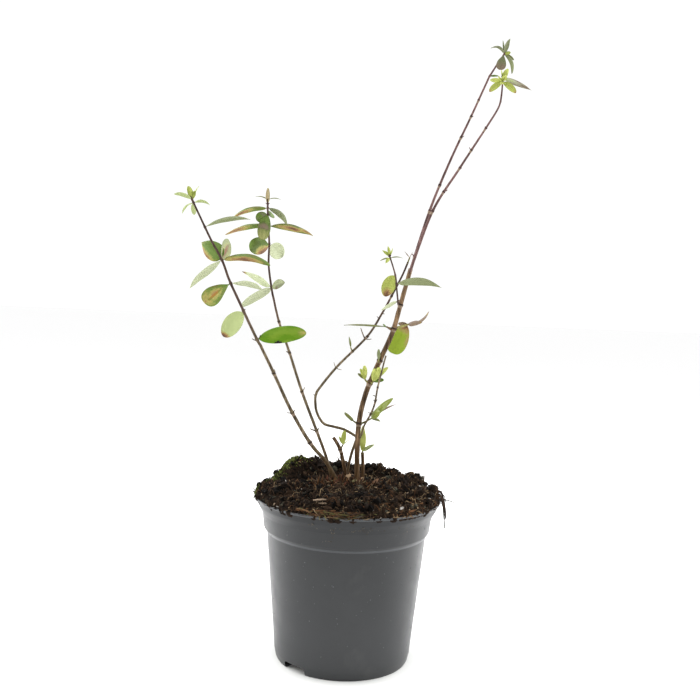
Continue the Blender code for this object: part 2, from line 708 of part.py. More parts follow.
def build_plant():
    """Builds the pot, the soil, the limbs and the leafy masses."""
    clear_scene()
    plant = make_collection(PLANT_NAME)
    cutters = make_collection("cutters")
    make_pot(plant, cutters)
    make_soil(plant, cutters)
    bark = make_material("bark", BARK_FINISH)
    whip_bark = make_material("young_bark", WHIP_FINISH)
    for name in LIMBS:
        make_limb(name, plant, bark, whip_bark)
    green = make_material("leaf_green", LEAF_FINISH)
    pale = make_material("leaf_pale", TIP_FINISH)
    for name in CROWNS:
        make_crown(name, plant, cutters, pale if name in PALE_MASSES else green)
    for name in SPROUTS:
        make_sprout(name, plant, cutters, pale if name in PALE_MASSES else green)


build_plant()
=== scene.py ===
import math
import random

import bmesh
import bpy
from mathutils import Matrix, Vector, noise


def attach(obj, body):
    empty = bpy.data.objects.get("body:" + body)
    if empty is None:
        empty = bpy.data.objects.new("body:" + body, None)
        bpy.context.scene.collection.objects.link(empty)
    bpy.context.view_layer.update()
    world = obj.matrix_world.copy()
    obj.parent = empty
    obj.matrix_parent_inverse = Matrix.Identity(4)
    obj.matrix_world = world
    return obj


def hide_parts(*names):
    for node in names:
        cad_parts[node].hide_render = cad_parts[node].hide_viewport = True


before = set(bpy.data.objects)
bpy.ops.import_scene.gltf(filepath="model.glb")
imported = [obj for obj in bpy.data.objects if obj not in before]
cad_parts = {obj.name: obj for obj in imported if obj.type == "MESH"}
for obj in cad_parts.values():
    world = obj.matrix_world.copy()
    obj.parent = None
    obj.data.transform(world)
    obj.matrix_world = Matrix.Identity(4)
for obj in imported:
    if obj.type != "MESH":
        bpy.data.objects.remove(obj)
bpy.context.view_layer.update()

MM = 0.001
UP = Vector((0.0, 0.0, 1.0))

# Camera, as fitted to the pot's rim, step and foot in the photograph
CAMERA_PLACE = Vector((0.0, -877.0, 357.0))
CAMERA_PITCH = 4.78
CAMERA_YAW = -0.21
CAMERA_ROLL = 2.28
CAMERA_LENS = 50.0
CAMERA_SENSOR = 36.0

# Pot, as in the solids, with a rolled lip over a dark groove. Its colours carry painted light: a painted highlight on
# the lip's top and the step's bead, painted shade in the groove, and painted bounce light towards the foot
POT_HEIGHT = 150.0
POT_WALL = 1.2
POT_FLOOR = 2.0
BASE_RADIUS = 60.0
BODY_TOP_RADIUS = 72.8
BODY_TOP = 117.5
COLLAR_FOOT_RADIUS = 75.8
COLLAR_FOOT = 121.5
COLLAR_TOP_RADIUS = 77.4
COLLAR_TOP = 134.5
RIM_RADIUS = 85.0
LIP_HEIGHT = 1.9
LIP_UNDERCUT = 1.9
GROOVE_HEIGHT = 1.2
POT_STEPS = 240
NOTCH_AZIMUTHS = (-133.0, 47.0)
NOTCH_WIDTH = 25.0
NOTCH_HEIGHT = 6.8
NOTCH_REACH = 17.0
NOTCH_ROUNDING = 3.0
POT_TONE = 0.0155
POT_GLOSS = 0.36
FLARE_GLOSS = 0.27
# Painted bounce light: the body's colour turns paler towards the foot, by this share at the base
FOOT_BOUNCE_LIGHT = 0.26
# Painted highlight: the lip's top and the step's bead get this paler tone of the plastic
HIGHLIGHT_TONE = 0.045
# Painted shade: the groove under the lip gets this near-black tone of the plastic
GROOVE_SHADE_TONE = 0.005
# The height of the step's bead, which carries the painted highlight
BEAD_HEIGHT = 1.9

# Soil, as in the solids: clods are their place, height and radius
CLEARANCE = 0.3
CROWN_HEIGHT = 160.0
CROWN_RADIUS = 22.0
SOIL_EDGE_HEIGHT = 149.0
CLOD_FADE_IN = 8.0
CLOD_FADE_OUT = 2.5
CLODS = (
    (-54.0, 24.0, 16.0, 16.0),
    (-34.0, 34.0, 15.0, 23.0),
    (-8.0, 52.0, 9.0, 22.0),
    (22.0, 50.0, 8.0, 18.0),
    (39.0, 42.0, 8.0, 13.0),
    (58.0, 28.0, 7.0, 16.0),
    (78.0, -4.0, 9.0, 9.0),
    (0.0, -58.0, 4.0, 24.0),
    (66.0, -34.0, 6.0, 16.0),
    (-62.0, -20.0, 3.0, 20.0),
)
# Lumps in the soil's surface: the size of a cell and how high it stands
SOIL_LUMPS = ((15.0, 3.2), (7.5, 2.4), (3.6, 1.4), (1.7, 0.8))
SOIL_GRAIN = 0.4
SOIL_LEVEL = 3.6
# The darkest clump, right of the moss: its middle and its reach
DARK_CLUMP = (-30.0, 22.0, 17.0)
SOIL_RINGS = 108
SOIL_SPOKES = 400

# Limbs, as in the solids: middle line, foot and tip radius, node heights, stands on the soil
GROUND = CROWN_HEIGHT + CLEARANCE
NODE_SWELLING = 1.3
NODE_HALF_LENGTH = 1.3
NODE_DARK = 0.82
FLARE = 1.45
FLARE_LENGTH = 6.0
SUNK = 6.0
# The stems' bark turns red brown towards the soil, below this height
FOOT_TOP = 215.0
FOOT_RED = (0.053, 0.026, 0.008)
UPPER_BARK = (280.0, 325.0)
# A pale scar reaches from here to there below each node, in millimetres
SCAR_REACH = (3.4, 1.2)
LIMBS = {
    "outer_left_stem": (
        ((-8.5, -3.6, GROUND), (-20, -5, 180), (-36, -9, 199), (-54, -14, 229), (-71, -19, 264),
         (-82, -22.6, 286)),
        1.8, 1.28, (201, 228, 263), True),
    "inner_left_stem": (
        ((-14.2, 4.6, GROUND), (-21, 6, 183), (-31, 9, 207), (-46, 14, 242), (-59, 19, 277),
         (-70, 23, 305), (-76, 26, 326)),
        1.5, 1.05, (207, 242, 277, 305), True),
    "middle_stub": (
        ((-0.7, 0.4, GROUND), (-5, -1, 180), (-9, -4, 194), (-15, -6, 204)),
        1.8, 1.5, (193,), True),
    "bowed_stem": (
        ((-3, 11, GROUND), (1.5, 11, 185), (5, 11.4, 197), (6, 11.6, 201.5), (3.5, 11.8, 204),
         (-6, 12.5, 208.8), (-15, 13, 210.8), (-25, 14, 213.4), (-31.5, 14.8, 223),
         (-33.5, 15.5, 233.6), (-33, 15.7, 240), (-30, 16, 246), (-14, 18, 267), (12, 20, 295),
         (25, 22, 317), (33, 23, 333), (42, 25, 352), (47, 25.7, 365)),
        1.35, 0.95, (281, 295, 333), True),
    "main_stem": (
        ((8.1, -3.1, GROUND), (7, -2.5, 193), (7.5, -1, 217), (10.5, 0, 236), (15.8, 1, 254),
         (24.2, 2, 275), (31.3, 3, 292), (35.6, 3.5, 304), (40.8, 4, 326), (48.7, 6, 359)),
        2.4, 2.1, (217, 254, 275, 304, 326), True),
    "back_whip": (
        ((49.5, 7.8, 360.5), (64, 15, 412), (81, 23, 458), (99, 30, 500), (109, 34.4, 524),
         (114, 36.6, 536)),
        1.45, 0.9, (372, 412, 437, 481, 500, 516), False),
    "front_whip": (
        ((49.3, 4.2, 360.5), (65.5, -3, 411), (87, -11, 449), (107, -18, 483), (116, -22, 499),
         (118, -23.6, 506)),
        1.35, 0.8, (411, 431, 449, 467, 483), False),
    "right_stub": (
        ((13, 3.3, GROUND), (12.8, 2, 178), (11.8, 0.5, 190)),
        1.65, 1.5, (), True),
    "right_side_stem": (
        ((10.3, -4.4, 208), (12.3, -6.8, 216), (17.6, -8, 227), (21, -9, 237), (23, -11, 252),
         (27, -13, 272), (29, -14.3, 281)),
        0.95, 0.7, (227, 240, 252), False),
}
LIMB_NODES = {"bowed_stem": ("bowed_stem_foot", "bowed_stem_low", "bowed_stem_high")}
# Limbs that grow out of another one reach this far back into it
JOINED = {"back_whip": (48.0, 6.2, 354.0), "front_whip": (47.8, 5.2, 354.0),
          "right_side_stem": (8.2, -2.6, 203.0)}
LIMB_BARKS = {"main_stem": "main_bark", "right_stub": "main_bark", "middle_stub": "main_bark",
              "back_whip": "young_bark", "front_whip": "young_bark"}

# Pegs, the feet of fallen leaves and shoots, that the photograph shows: height on the limb,
# azimuth, rise, length and radius
PEGS = {
    "outer_left_stem": ((262.0, -77, 63, 4.5, 0.5), (255.5, 180, 47, 2.8, 0.6), (227.5, 180, 0, 5.0, 0.5),
                        (227.5, -30, 47, 4.2, 0.5)),
    "inner_left_stem": ((278.0, 180, 27, 3.6, 0.6), (242.0, 0, 60, 5.0, 0.5), (207.0, 180, 18, 7.0, 0.7),
                        (207.0, -25, 51, 4.0, 0.6)),
    "bowed_stem": ((238.6, 180, 33, 2.4, 0.5), (252.0, 0, 61, 2.4, 0.5), (266.6, 180, 69, 5.6, 0.35),
                   (266.6, 0, -14, 5.6, 0.35), (293.7, 180, 66, 11.0, 0.6), (293.7, 0, 2, 6.0, 0.45),
                   (313.4, 180, 47, 3.2, 0.4), (317.0, 0, -10, 2.6, 0.4)),
    "main_stem": ((303.0, -157, 28, 7.5, 0.9), (222.0, -111, 44, 4.0, 0.7), (276.0, 20, 60, 4.2, 0.5)),
    "right_side_stem": ((244.0, 180, 14, 3.2, 0.45), (238.3, 0, 55, 3.4, 0.4), (228.0, 180, 20, 3.0, 0.4)),
    "outer_left_crown": ((291.5, 180, 19, 5.4, 0.5), (291.5, 0, 66, 5.8, 0.5)),
    "back_whip": ((372.0, 180, 40, 4.0, 0.5), (412.0, 10, 50, 3.6, 0.4), (481.0, 0, 30, 3.4, 0.4)),
    "front_whip": ((431.0, -10, 30, 4.0, 0.45), (467.0, 170, 50, 3.4, 0.4)),
}

# Outlines of leaves: how fast the width rises from the stalk and falls towards the tip
SHAPES = {"oval": (0.55, 0.55), "egg": (0.50, 0.80), "spoon": (1.10, 0.45), "lance": (0.70, 0.95),
          "taper": (0.55, 1.05), "strap": (0.40, 0.60), "blunt": (0.60, 0.40)}

# Leafy masses, as in the solids: stem, foot and tip radius, node heights, and leaves. A leaf
# is: node number, azimuth, rise, length, width, arch, roll, outline, and how it looks.
CROWNS = {
    "outer_left_crown": (
        ((-82.2, -22.7, 286.6), (-86, -24, 293), (-101, -30, 324), (-110, -33, 343),
         (-116.5, -36, 360), (-127, -39.5, 379), (-144, -45, 414)),
        1.28, 0.8, (292.0, 317.5, 341.0, 361.0, 388.0, 407.5, 410.5),
        ((0, -10, 10, 45, 15.5, 0.04, -72, "oval", "bright"),
         (1, 134, -42, 37, 16, 0.03, -52, "oval", "pale_brown_tip"),
         (2, -136, -33, 32, 16, 0.04, 66, "spoon", "tan_centre"),
         (2, 29, -10, 31, 10, 0.10, 30, "lance", "ghost"),
         (3, 142, 30, 30, 17, 0.05, 60, "egg", "brown_margin"),
         (3, 78, 38, 25, 15, 0.10, 105, "oval", "folded_dry"),
         (3, -9, -4, 43, 11.5, 0.12, -32, "strap", "brown_lower"),
         (3, 161, -40, 40, 10, 0.05, -22, "lance", "ghost"),
         (4, 16, 12, 40, 10, 0.10, 24, "lance", "grey_sage"),
         (6, -132, 66, 12, 5, 0.05, 110, "oval", "new"),
         (6, 56, 56, 15, 4, 0.08, 25, "lance", "new"),
         (6, -159, 14, 16, 4.5, 0.12, -42, "oval", "pale"),
         (6, -10, 70, 8, 4.5, 0.05, -70, "oval", "lime"),
         (5, 148, -35, 16, 4, 0.18, 5, "strap", "grey_pale"),
         (5, 18, -5, 14, 4.5, 0.20, 30, "lance", "grey_pale"),
         (5, 96, -48, 13, 5, 0.05, -20, "oval", "pale"))),
    "inner_left_crown": (
        ((-76.1, 26.1, 326.6), (-78, 27, 334), (-82, 30, 357), (-82.5, 33, 378),
         (-85, 37, 404), (-86, 40, 425)),
        1.05, 0.8, (338.0, 377.5, 393.5, 405.0, 412.0, 418.5, 416.0),
        ((0, 157, -32, 38, 11.5, 0.02, -30, "strap", "ghost"),
         (0, 153, 22, 36, 9, 0.03, -60, "taper", "ghost_brown_tip"),
         (0, -53, 12, 23, 9, 0.05, -84, "egg", "grey_scorched"),
         (1, -129, -11, 26, 16, 0.04, 80, "oval", "dark_rust"),
         (1, 62, -26, 25, 15, 0.05, 58, "oval", "ghost"),
         (2, -5, -10, 43, 12, 0.09, -32, "lance", "brown_middle"),
         (2, 174, -13, 42, 11, 0.09, 32, "strap", "brown_outer"),
         (3, -97, -50, 31, 12, 0.06, 22, "blunt", "khaki_lower"),
         (3, -160, -30, 12, 11, 0.04, 78, "oval", "mid_grey"),
         (3, 80, 0, 23, 8, 0.05, -60, "oval", "dark"),
         (4, -169, -18, 34, 9, 0.10, 32, "strap", "brown_outer"),
         (4, 26, -37, 25, 9.5, 0.16, 20, "lance", "grey"),
         (5, 160, 11, 13, 2.4, 0.12, 20, "lance", "grey"),
         (5, -18, 2, 13, 2.4, 0.12, -24, "lance", "grey"),
         (6, -100, 82, 15, 4.0, 0.02, 10, "egg", "bud"),
         (6, 80, 84, 15, 3.6, 0.02, 10, "egg", "bud"))),
    "back_tip_rosette": (
        ((114.2, 36.7, 536.6), (115.4, 37, 539), (122.5, 38.8, 551), (128.5, 40, 560.5)),
        0.9, 0.75, (559.5, 538.5),
        ((0, -166, 16, 14.5, 4, 0.28, -17, "strap", "steel"),
         (0, 110, 74, 14, 3, 0.05, -20, "lance", "steel"),
         (0, 34, 66, 16.5, 5, 0.05, 92, "lance", "steel"),
         (0, -20, 10, 6, 4, 0.05, -70, "oval", "new"),
         (0, -10, -30, 11, 3.4, 0.06, -75, "lance", "grey_dark"),
         (0, -40, -64, 21, 4.2, 0.18, -34, "strap", "steel"),
         (0, -121, -66, 17, 9, 0.05, -150, "spoon", "purple_tip"),
         (1, -4, 2, 9, 2.4, 0.05, -60, "lance", "dark"))),
    "front_tip_rosette": (
        ((118.1, -23.7, 506.6), (118.5, -24.5, 513), (118.8, -25.2, 527)),
        0.85, 0.7, (523.0, 526.0),
        ((0, 29, 66, 13, 4.6, 0.05, -62, "oval", "glow"),
         (0, -80, 35, 8, 5, 0.05, 0, "oval", "glow"),
         (0, -100, -25, 8, 4.6, 0.05, 0, "oval", "glow"),
         (0, -60, 62, 8, 5.5, 0.05, -60, "oval", "glow"),
         (0, -140, 30, 7, 5.5, 0.05, 60, "oval", "glow"),
         (1, -5, -22, 27, 6, 0.02, -62, "taper", "long_purple"),
         (0, -28, -38, 16, 5.4, 0.05, -90, "oval", "lime_brown_tip"),
         (0, -156, -37, 16, 5.2, 0.05, 82, "oval", "lime_brown_tip"),
         (0, 158, 10, 11.5, 4.5, 0.05, 70, "oval", "glow"),
         (1, -120, 50, 7, 5, 0.05, 80, "oval", "glow"))),
    "centre_shoot": (
        ((38.4, 0.9, 328.2), (36.6, -3, 340), (34.5, -7, 353), (28, -12, 371)),
        0.85, 0.65, (329.5, 346.0, 368.0, 370.0, 353.0),
        ((4, 128, -56, 24, 12.5, 0.05, -50, "oval", "olive_brown_tip"),
         (1, 21, -3, 45, 10, 0.09, 48, "taper", "olive_grey"),
         (0, -155, -27, 19, 6, 0.04, -50, "lance", "ghost"),
         (3, -124, 66, 10, 3.4, 0.05, 110, "lance", "lime"),
         (3, 54, 60, 9, 3.4, 0.05, 30, "lance", "lime"),
         (3, 144, 32, 10, 3.2, 0.06, 40, "lance", "lime"),
         (2, -123, -32, 9, 3.2, 0.08, 60, "lance", "lime"),
         (2, 20, 2, 12, 2.0, 0.10, -30, "lance", "grey"),
         (2, -167, -18, 10, 2.2, 0.10, 30, "lance", "grey"))),
}

# Sprouts, as in the solids: limb, height, the twig's azimuth, rise and length, its radius,
# and leaves without a node number.
SPROUTS = {
    "main_leaf_right": (
        "main_stem", 305.5, (30, 14, 13.0), 1.2,
        ((130, -57, 34, 18, 0.04, -50, "blunt", "sun_brown_base"),
         (176, 4, 9, 5, 0.03, -50, "oval", "dry"),
         (-24, 12, 14, 6, 0.03, -50, "strap", "dry"),
         (-16, 34, 23, 5.5, -0.14, -35, "strap", "dry"))),
    "main_leaf_left": (
        "main_stem", 304.5, (178, 12, 4.0), 0.8,
        ((176, 0, 39, 8, 0.03, 8, "lance", "grey_dark"),
         (-125, 20, 7, 3, 0.05, 60, "oval", "dark"))),
    "upper_bud_sprout": (
        "main_stem", 274.0, (-90, 40, 2.5), 0.8,
        ((-94, 72, 11, 3.2, 0.04, 10, "oval", "grey"),)),
    "middle_sprout_left": (
        "main_stem", 254.0, (-160, 45, 3.0), 0.9,
        ((-110, 72, 14, 5.5, 0.06, 125, "oval", "glow"),
         (165, 62, 11, 4.5, 0.08, 40, "oval", "glow"),
         (158, 34, 9, 4, 0.08, 30, "oval", "grey_dark"))),
    "middle_sprout_right": (
        "main_stem", 254.0, (-40, 40, 3.0), 1.0,
        ((-14, 46, 19, 5, 0.05, -66, "oval", "glow"),
         (-44, 60, 16, 6, 0.04, -115, "oval", "glow"),
         (-70, 74, 13, 6, 0.04, -125, "oval", "glow"),
         (-16, 12, 10, 4.5, 0.08, -60, "oval", "dark"))),
    "low_sprout_left": (
        "main_stem", 217.5, (-165, 35, 3.0), 0.9,
        ((-161, 38, 12, 4, 0.04, 60, "strap", "grey_dark"),
         (172, 40, 13, 2.6, 0.08, 20, "lance", "grey_olive"))),
    "low_shoot_right": (
        "main_stem", 217.5, (-25, 30, 11.0), 0.9,
        ((-12, 46, 28, 6, 0.03, -80, "strap", "low_leaf"),
         (2, 32, 26, 3, 0.06, -30, "lance", "purple"),
         (-36, 40, 12, 7, 0.05, -90, "oval", "low_leaf"),
         (-30, -10, 10, 3, 0.10, -40, "lance", "grey_dark"))),
    "stub_sprout": (
        "right_stub", None, (100, 60, 0.5), 1.0,
        ((100, 85, 24, 6, 0.03, 35, "strap", "glow"),
         (60, 80, 18, 5, 0.03, -30, "strap", "glow"),
         (-14, 34, 14, 4, 0.05, -60, "lance", "grey_pale"))),
    "middle_stub_sprout": (
        "middle_stub", 194.0, (-30, 60, 3.0), 0.8,
        ((-60, 80, 14, 4.6, 0.03, 30, "oval", "lime"),
         (170, 60, 9, 3.4, 0.05, 40, "lance", "lime"),
         (10, 40, 8, 3, 0.05, 0, "lance", "new"))),
    "bowed_tip_leaf": (
        "bowed_stem", None, (40, 65, 4.0), 0.8,
        ((-155, 45, 8, 2.6, 0.03, 40, "lance", "withered"),
         (30, 60, 6, 2.4, 0.03, 40, "lance", "withered"))),
    "bowed_bud_sprout": (
        "bowed_stem", 281.0, (-140, 60, 2.5), 0.7,
        ((-142, 76, 11, 2.0, 0.02, 120, "lance", "grey_olive"),)),
}

# Leaf colours, as linear red, green, blue
LEAF_COLOURS = {
    "dark": (0.060, 0.092, 0.013),
    "olive": (0.122, 0.130, 0.030),
    "mid": (0.102, 0.165, 0.028),
    "fresh": (0.085, 0.185, 0.004),
    "bright": (0.132, 0.225, 0.014),
    "sun": (0.240, 0.330, 0.028),
    "new": (0.200, 0.240, 0.045),
    "lime": (0.300, 0.340, 0.075),
    # The next colour is a brighter copy of lime: painted light that makes up for the shade the sideways sprouts lie in
    "glow": (0.440, 0.480, 0.130),
    "steel": (0.125, 0.138, 0.066),
    "grey": (0.185, 0.210, 0.100),
    "pale": (0.330, 0.385, 0.165),
    "ghost": (0.390, 0.425, 0.270),
    "sage": (0.235, 0.240, 0.085),
    "khaki": (0.310, 0.275, 0.080),
    "tan": (0.275, 0.168, 0.066),
    "orange": (0.340, 0.125, 0.028),
    "rust": (0.165, 0.082, 0.040),
    "brown": (0.080, 0.042, 0.025),
    "black": (0.012, 0.010, 0.008),
    "purple": (0.215, 0.160, 0.125),
    "mauve": (0.165, 0.115, 0.085),
    "dry": (0.220, 0.160, 0.105),
    "bud": (0.330, 0.270, 0.150),
    "bark": (0.080, 0.055, 0.036),
}
SCORCH_RAMP = ((0.10, None), (0.42, "khaki"), (0.62, "tan"), (0.92, "rust"), (1.25, "brown"), (1.8, "black"))
SCORCH_EDGE = 1.3
SCORCH_RAGGED = 0.45
BLEND_STEPS = 4

# How a leaf looks: its top, the blotches on it, its underside, and scorched patches. The underside's colour is mostly
# paler than the top, partly the leaf's own and partly painted light that shines through the leaf. A patch is the share
# of the length and of the half width at its middle, its reach along and across, and its strength; where it names a
# colour, it is tinted with that one, not scorched.
LOOKS = {
    "bright": ("fresh", "bright", "pale", ((0.98, -0.1, 0.13, 0.8, 0.85, "khaki"),
                                           (0.42, 0.95, 0.06, 0.22, 3.5, "black"))),
    "sun_brown_base": ("sun", "bright", "sun", ((0.06, 0.0, 0.24, 1.6, 0.82), (0.45, 0.9, 0.26, 0.35, 0.45))),
    "new": ("new", "lime", "lime", ()),
    # Leaves with the next look are painted lighter than lime: painted light
    "glow": ("glow", "lime", "glow", ()),
    "lime": ("lime", "new", "lime", ()),
    "lime_brown_tip": ("lime", "lime", "lime", ((1.0, 0.0, 0.15, 1.2, 0.8),)),
    "pale": ("pale", "grey", "pale", ()),
    "grey_pale": ("grey", "pale", "pale", ()),
    "ghost": ("ghost", "pale", "ghost", ()),
    "ghost_brown_tip": ("ghost", "pale", "ghost", ((1.0, 0.0, 0.13, 2.2, 1.5),)),
    "pale_brown_tip": ("pale", "ghost", "pale", ((1.0, 0.0, 0.12, 1.7, 1.25),)),
    "tan_centre": ("mid", "olive", "pale", ((0.62, -0.05, 0.25, 0.13, 0.90, "orange"),
                                            (0.62, 0.0, 0.34, 0.60, 0.55), (0.95, 0.1, 0.38, 1.2, 0.42))),
    "brown_margin": ("mid", "mid", "pale", ((0.55, -1.0, 0.55, 0.48, 0.62), (0.95, 0.0, 0.12, 1.0, 0.30))),
    "folded_dry": ("grey", "khaki", "grey", ((0.45, -0.15, 0.42, 0.30, 1.1, "rust"),
                                             (0.45, -0.1, 0.60, 0.75, 0.34))),
    "brown_lower": ("olive", "mid", "pale", ((0.45, 0.70, 0.42, 0.60, 0.85), (0.1, 0.2, 0.14, 1.2, 0.35))),
    "brown_middle": ("dark", "olive", "pale", ((0.50, 0.45, 0.36, 0.55, 0.80), (0.88, 0.0, 0.25, 0.9, 0.70))),
    "brown_outer": ("mid", "olive", "pale", ((0.75, -0.4, 0.36, 0.8, 0.78), (1.0, 0.0, 0.12, 1.0, 1.0))),
    "khaki_lower": ("dark", "mid", "sage", ((0.56, 0.1, 0.14, 0.9, 0.75, "mauve"),
                                            (0.98, 0.0, 0.36, 1.6, 1.0, "sage"))),
    "mid_grey": ("mid", "steel", "grey", ()),
    "dark": ("dark", "mid", "grey", ()),
    "dark_rust": ("dark", "mid", "pale", ((0.36, -0.90, 0.40, 0.75, 0.98),)),
    "grey": ("grey", "olive", "grey", ()),
    "grey_sage": ("grey", "sage", "grey", ()),
    "grey_dark": ("steel", "olive", "grey", ()),
    "steel": ("steel", "grey", "steel", ()),
    "grey_olive": ("olive", "grey", "grey", ()),
    "olive_grey": ("olive", "steel", "grey", ()),
    "grey_scorched": ("steel", "grey", "steel", ((0.38, 0.7, 0.10, 0.3, 0.9, "brown"),)),
    "olive_brown_tip": ("lime", "new", "lime", ((0.95, 0.25, 0.32, 1.1, 0.95),)),
    "purple": ("purple", "mauve", "purple", ()),
    "long_purple": ("ghost", "pale", "ghost", ((0.85, 0.0, 0.42, 1.2, 1.0, "mauve"), (0.5, 0.9, 0.4, 0.5, 0.8, "mauve"),
                                               (0.5, -0.9, 0.4, 0.5, 0.8, "mauve"))),
    "purple_tip": ("steel", "olive", "steel", ((1.0, 0.0, 0.45, 1.9, 0.95, "mauve"),)),
    "low_leaf": ("pale", "new", "pale", ()),
    "khaki": ("khaki", "olive", "khaki", ()),
    "dry": ("dry", "purple", "dry", ((0.98, 0.0, 0.12, 1.5, 1.0),)),
    "bud": ("bud", "new", "bud", ((0.1, 0.0, 0.2, 1.2, 0.5),)),
    "withered": ("bark", "dry", "bark", ()),
}
LEAF_ROWS = 30
HALF_COLUMNS = (0.06, 0.20, 0.36, 0.52, 0.68, 0.82, 0.93, 1.0)
LEAF_COLUMNS = tuple(-share for share in reversed(HALF_COLUMNS)) + HALF_COLUMNS
LEAF_THICKNESS = 0.35
LEAF_FOLD = 0.22
LEAF_WAVE = 0.06
STALK_SHARE = 0.05
STALK_WIDTH = 1.0

# Tubes: sides and spacing of their rings
LIMB_SIDES = 20
LIMB_RING_STEP = 0.8
TWIG_SIDES = 12

# Small things on the soil
CLOD_COUNT = 1500
CRUMB_COUNT = 8600
FIBRE_COUNT = 2400
SHRED_COUNT = 1700
MOSS_COUNT = 2600
# Slivers and dry husks at the stems' feet: how many, their lengths, widths, rises, range of looks and lift
FOOT_LITTER_SORTS = ((520, (3.0, 11.0), (0.8, 2.2), (15, 85), (0, 5), 0.0),
                     (26, (5.0, 9.0), (2.4, 4.0), (0, 45), (5, 8), 2.4))
LITTER_HEAP = 7.0
RIM_STRAW_COUNT = 150
FLECK_COUNT = 240

# Light and floor
WORLD_STRENGTH = 1.06
FLOOR_COLOUR = (0.925, 0.925, 0.925)
# The floor's contact shade: the distances over which it fades, and its colour
SHADE_REACH = (62.0, 100.0)
SHADE_COLOUR = (0.72, 0.725, 0.71)
SIDE_LAMP_POWER = 29.0
TOP_LAMP_POWER = 4.0


# Materials

def new_material(name, colour, roughness, gloss=0.5):
    """A Principled material whose constant values sit on the shader's own sockets."""
    material = bpy.data.materials.new(name)
    material.use_nodes = True
    shader = material.node_tree.nodes["Principled BSDF"]
    shader.inputs["Base Color"].default_value = (*colour, 1.0)
    shader.inputs["Roughness"].default_value = roughness
    shader.inputs["Specular IOR Level"].default_value = gloss
    return material, shader


def node(tree, kind, **settings):
    """A shader node with its settings."""
    item = tree.nodes.new(kind)
    for key, value in settings.items():
        setattr(item, key, value)
    return item


def noise_of(tree, scale, detail=3.0, stretch=(1.0, 1.0, 1.0)):
    """Noise in object space, with a scale per metre and a stretch along the axes."""
    place = node(tree, "ShaderNodeTexCoord")
    mapping = node(tree, "ShaderNodeMapping")
    mapping.inputs["Scale"].default_value = stretch
    pattern = node(tree, "ShaderNodeTexNoise")
    pattern.inputs["Scale"].default_value = scale
    pattern.inputs["Detail"].default_value = detail
    tree.links.new(place.outputs["Object"], mapping.inputs["Vector"])
    tree.links.new(mapping.outputs["Vector"], pattern.inputs["Vector"])
    return pattern.outputs["Fac"]


def ramp_of(tree, source, stops):
    """A colour ramp over a value, from (position, colour) stops."""
    ramp = node(tree, "ShaderNodeValToRGB")
    elements = ramp.color_ramp.elements
    while len(elements) < len(stops):
        elements.new(0.5)
    for element, (position, colour) in zip(elements, stops):
        element.position = position
        element.color = (*colour, 1.0)
    tree.links.new(source, ramp.inputs["Fac"])
    return ramp.outputs["Color"]


def mix_of(tree, share, first, second, kind="MIX"):
    """Two colours mixed by a share that may be a socket or a number."""
    mix = node(tree, "ShaderNodeMix", data_type="RGBA", blend_type=kind)
    if isinstance(share, float):
        mix.inputs[0].default_value = share
    else:
        tree.links.new(share, mix.inputs[0])
    for slot, value in ((6, first), (7, second)):
        if isinstance(value, tuple):
            mix.inputs[slot].default_value = (*value, 1.0)
        else:
            tree.links.new(value, mix.inputs[slot])
    return mix.outputs[2]


def bump_of(tree, shader, height, strength, distance):
    """A bump from a height value onto the shader's normal."""
    bump = node(tree, "ShaderNodeBump")
    bump.inputs["Strength"].default_value = strength
    bump.inputs["Distance"].default_value = distance
    tree.links.new(height, bump.inputs["Height"])
    tree.links.new(bump.outputs["Normal"], shader.inputs["Normal"])


def spread_of(tree, source, low, high):
    """A noise value spread over a range, for roughness."""
    spread = node(tree, "ShaderNodeMapRange")
    spread.inputs["From Min"].default_value = 0.3
    spread.inputs["From Max"].default_value = 0.7
    spread.inputs["To Min"].default_value = low
    spread.inputs["To Max"].default_value = high
    tree.links.new(source, spread.inputs["Value"])
    return spread.outputs["Result"]


def by_height(tree, low, high, at_low, at_high):
    """A value that changes with height, between two heights in millimetres."""
    place = node(tree, "ShaderNodeTexCoord")
    split = node(tree, "ShaderNodeSeparateXYZ")
    spread = node(tree, "ShaderNodeMapRange")
    for key, value in (("From Min", low * MM), ("From Max", high * MM), ("To Min", at_low), ("To Max", at_high)):
        spread.inputs[key].default_value = value
    tree.links.new(place.outputs["Object"], split.inputs["Vector"])
    tree.links.new(split.outputs["Z"], spread.inputs["Value"])
    return spread.outputs["Result"]


def pot_material(name, tone, gloss):
    """Satin grey moulded plastic with a faint cloudiness and a fine grain, made paler towards the foot as painted
    bounce light.
    """
    material, shader = new_material(name, (tone, tone, tone), 0.36, gloss)
    tree = material.node_tree
    low, high = ((tone * share, tone * share * 1.08, tone * share * 1.17) for share in (0.87, 1.12))
    body = ramp_of(tree, noise_of(tree, 22.0, 5.0), ((0.3, low), (0.7, high)))
    film = ramp_of(tree, noise_of(tree, 46.0, 6.0, (1.0, 1.0, 0.7)),
                   ((0.62, (0, 0, 0)), (0.82, (0.3, 0.3, 0.3))))
    dusty = mix_of(tree, film, body, (0.065, 0.063, 0.059))
    # Painted bounce light from the floor: paler towards the foot
    bounce_lit = mix_of(tree, by_height(tree, 0.0, BODY_TOP, FOOT_BOUNCE_LIGHT, 0.0), dusty, (0.068, 0.070, 0.072))
    tree.links.new(bounce_lit, shader.inputs["Base Color"])
    tree.links.new(spread_of(tree, noise_of(tree, 60.0, 3.0), 0.31, 0.42), shader.inputs["Roughness"])
    bump_of(tree, shader, noise_of(tree, 900.0, 2.0), 0.08, 0.0004)
    return material


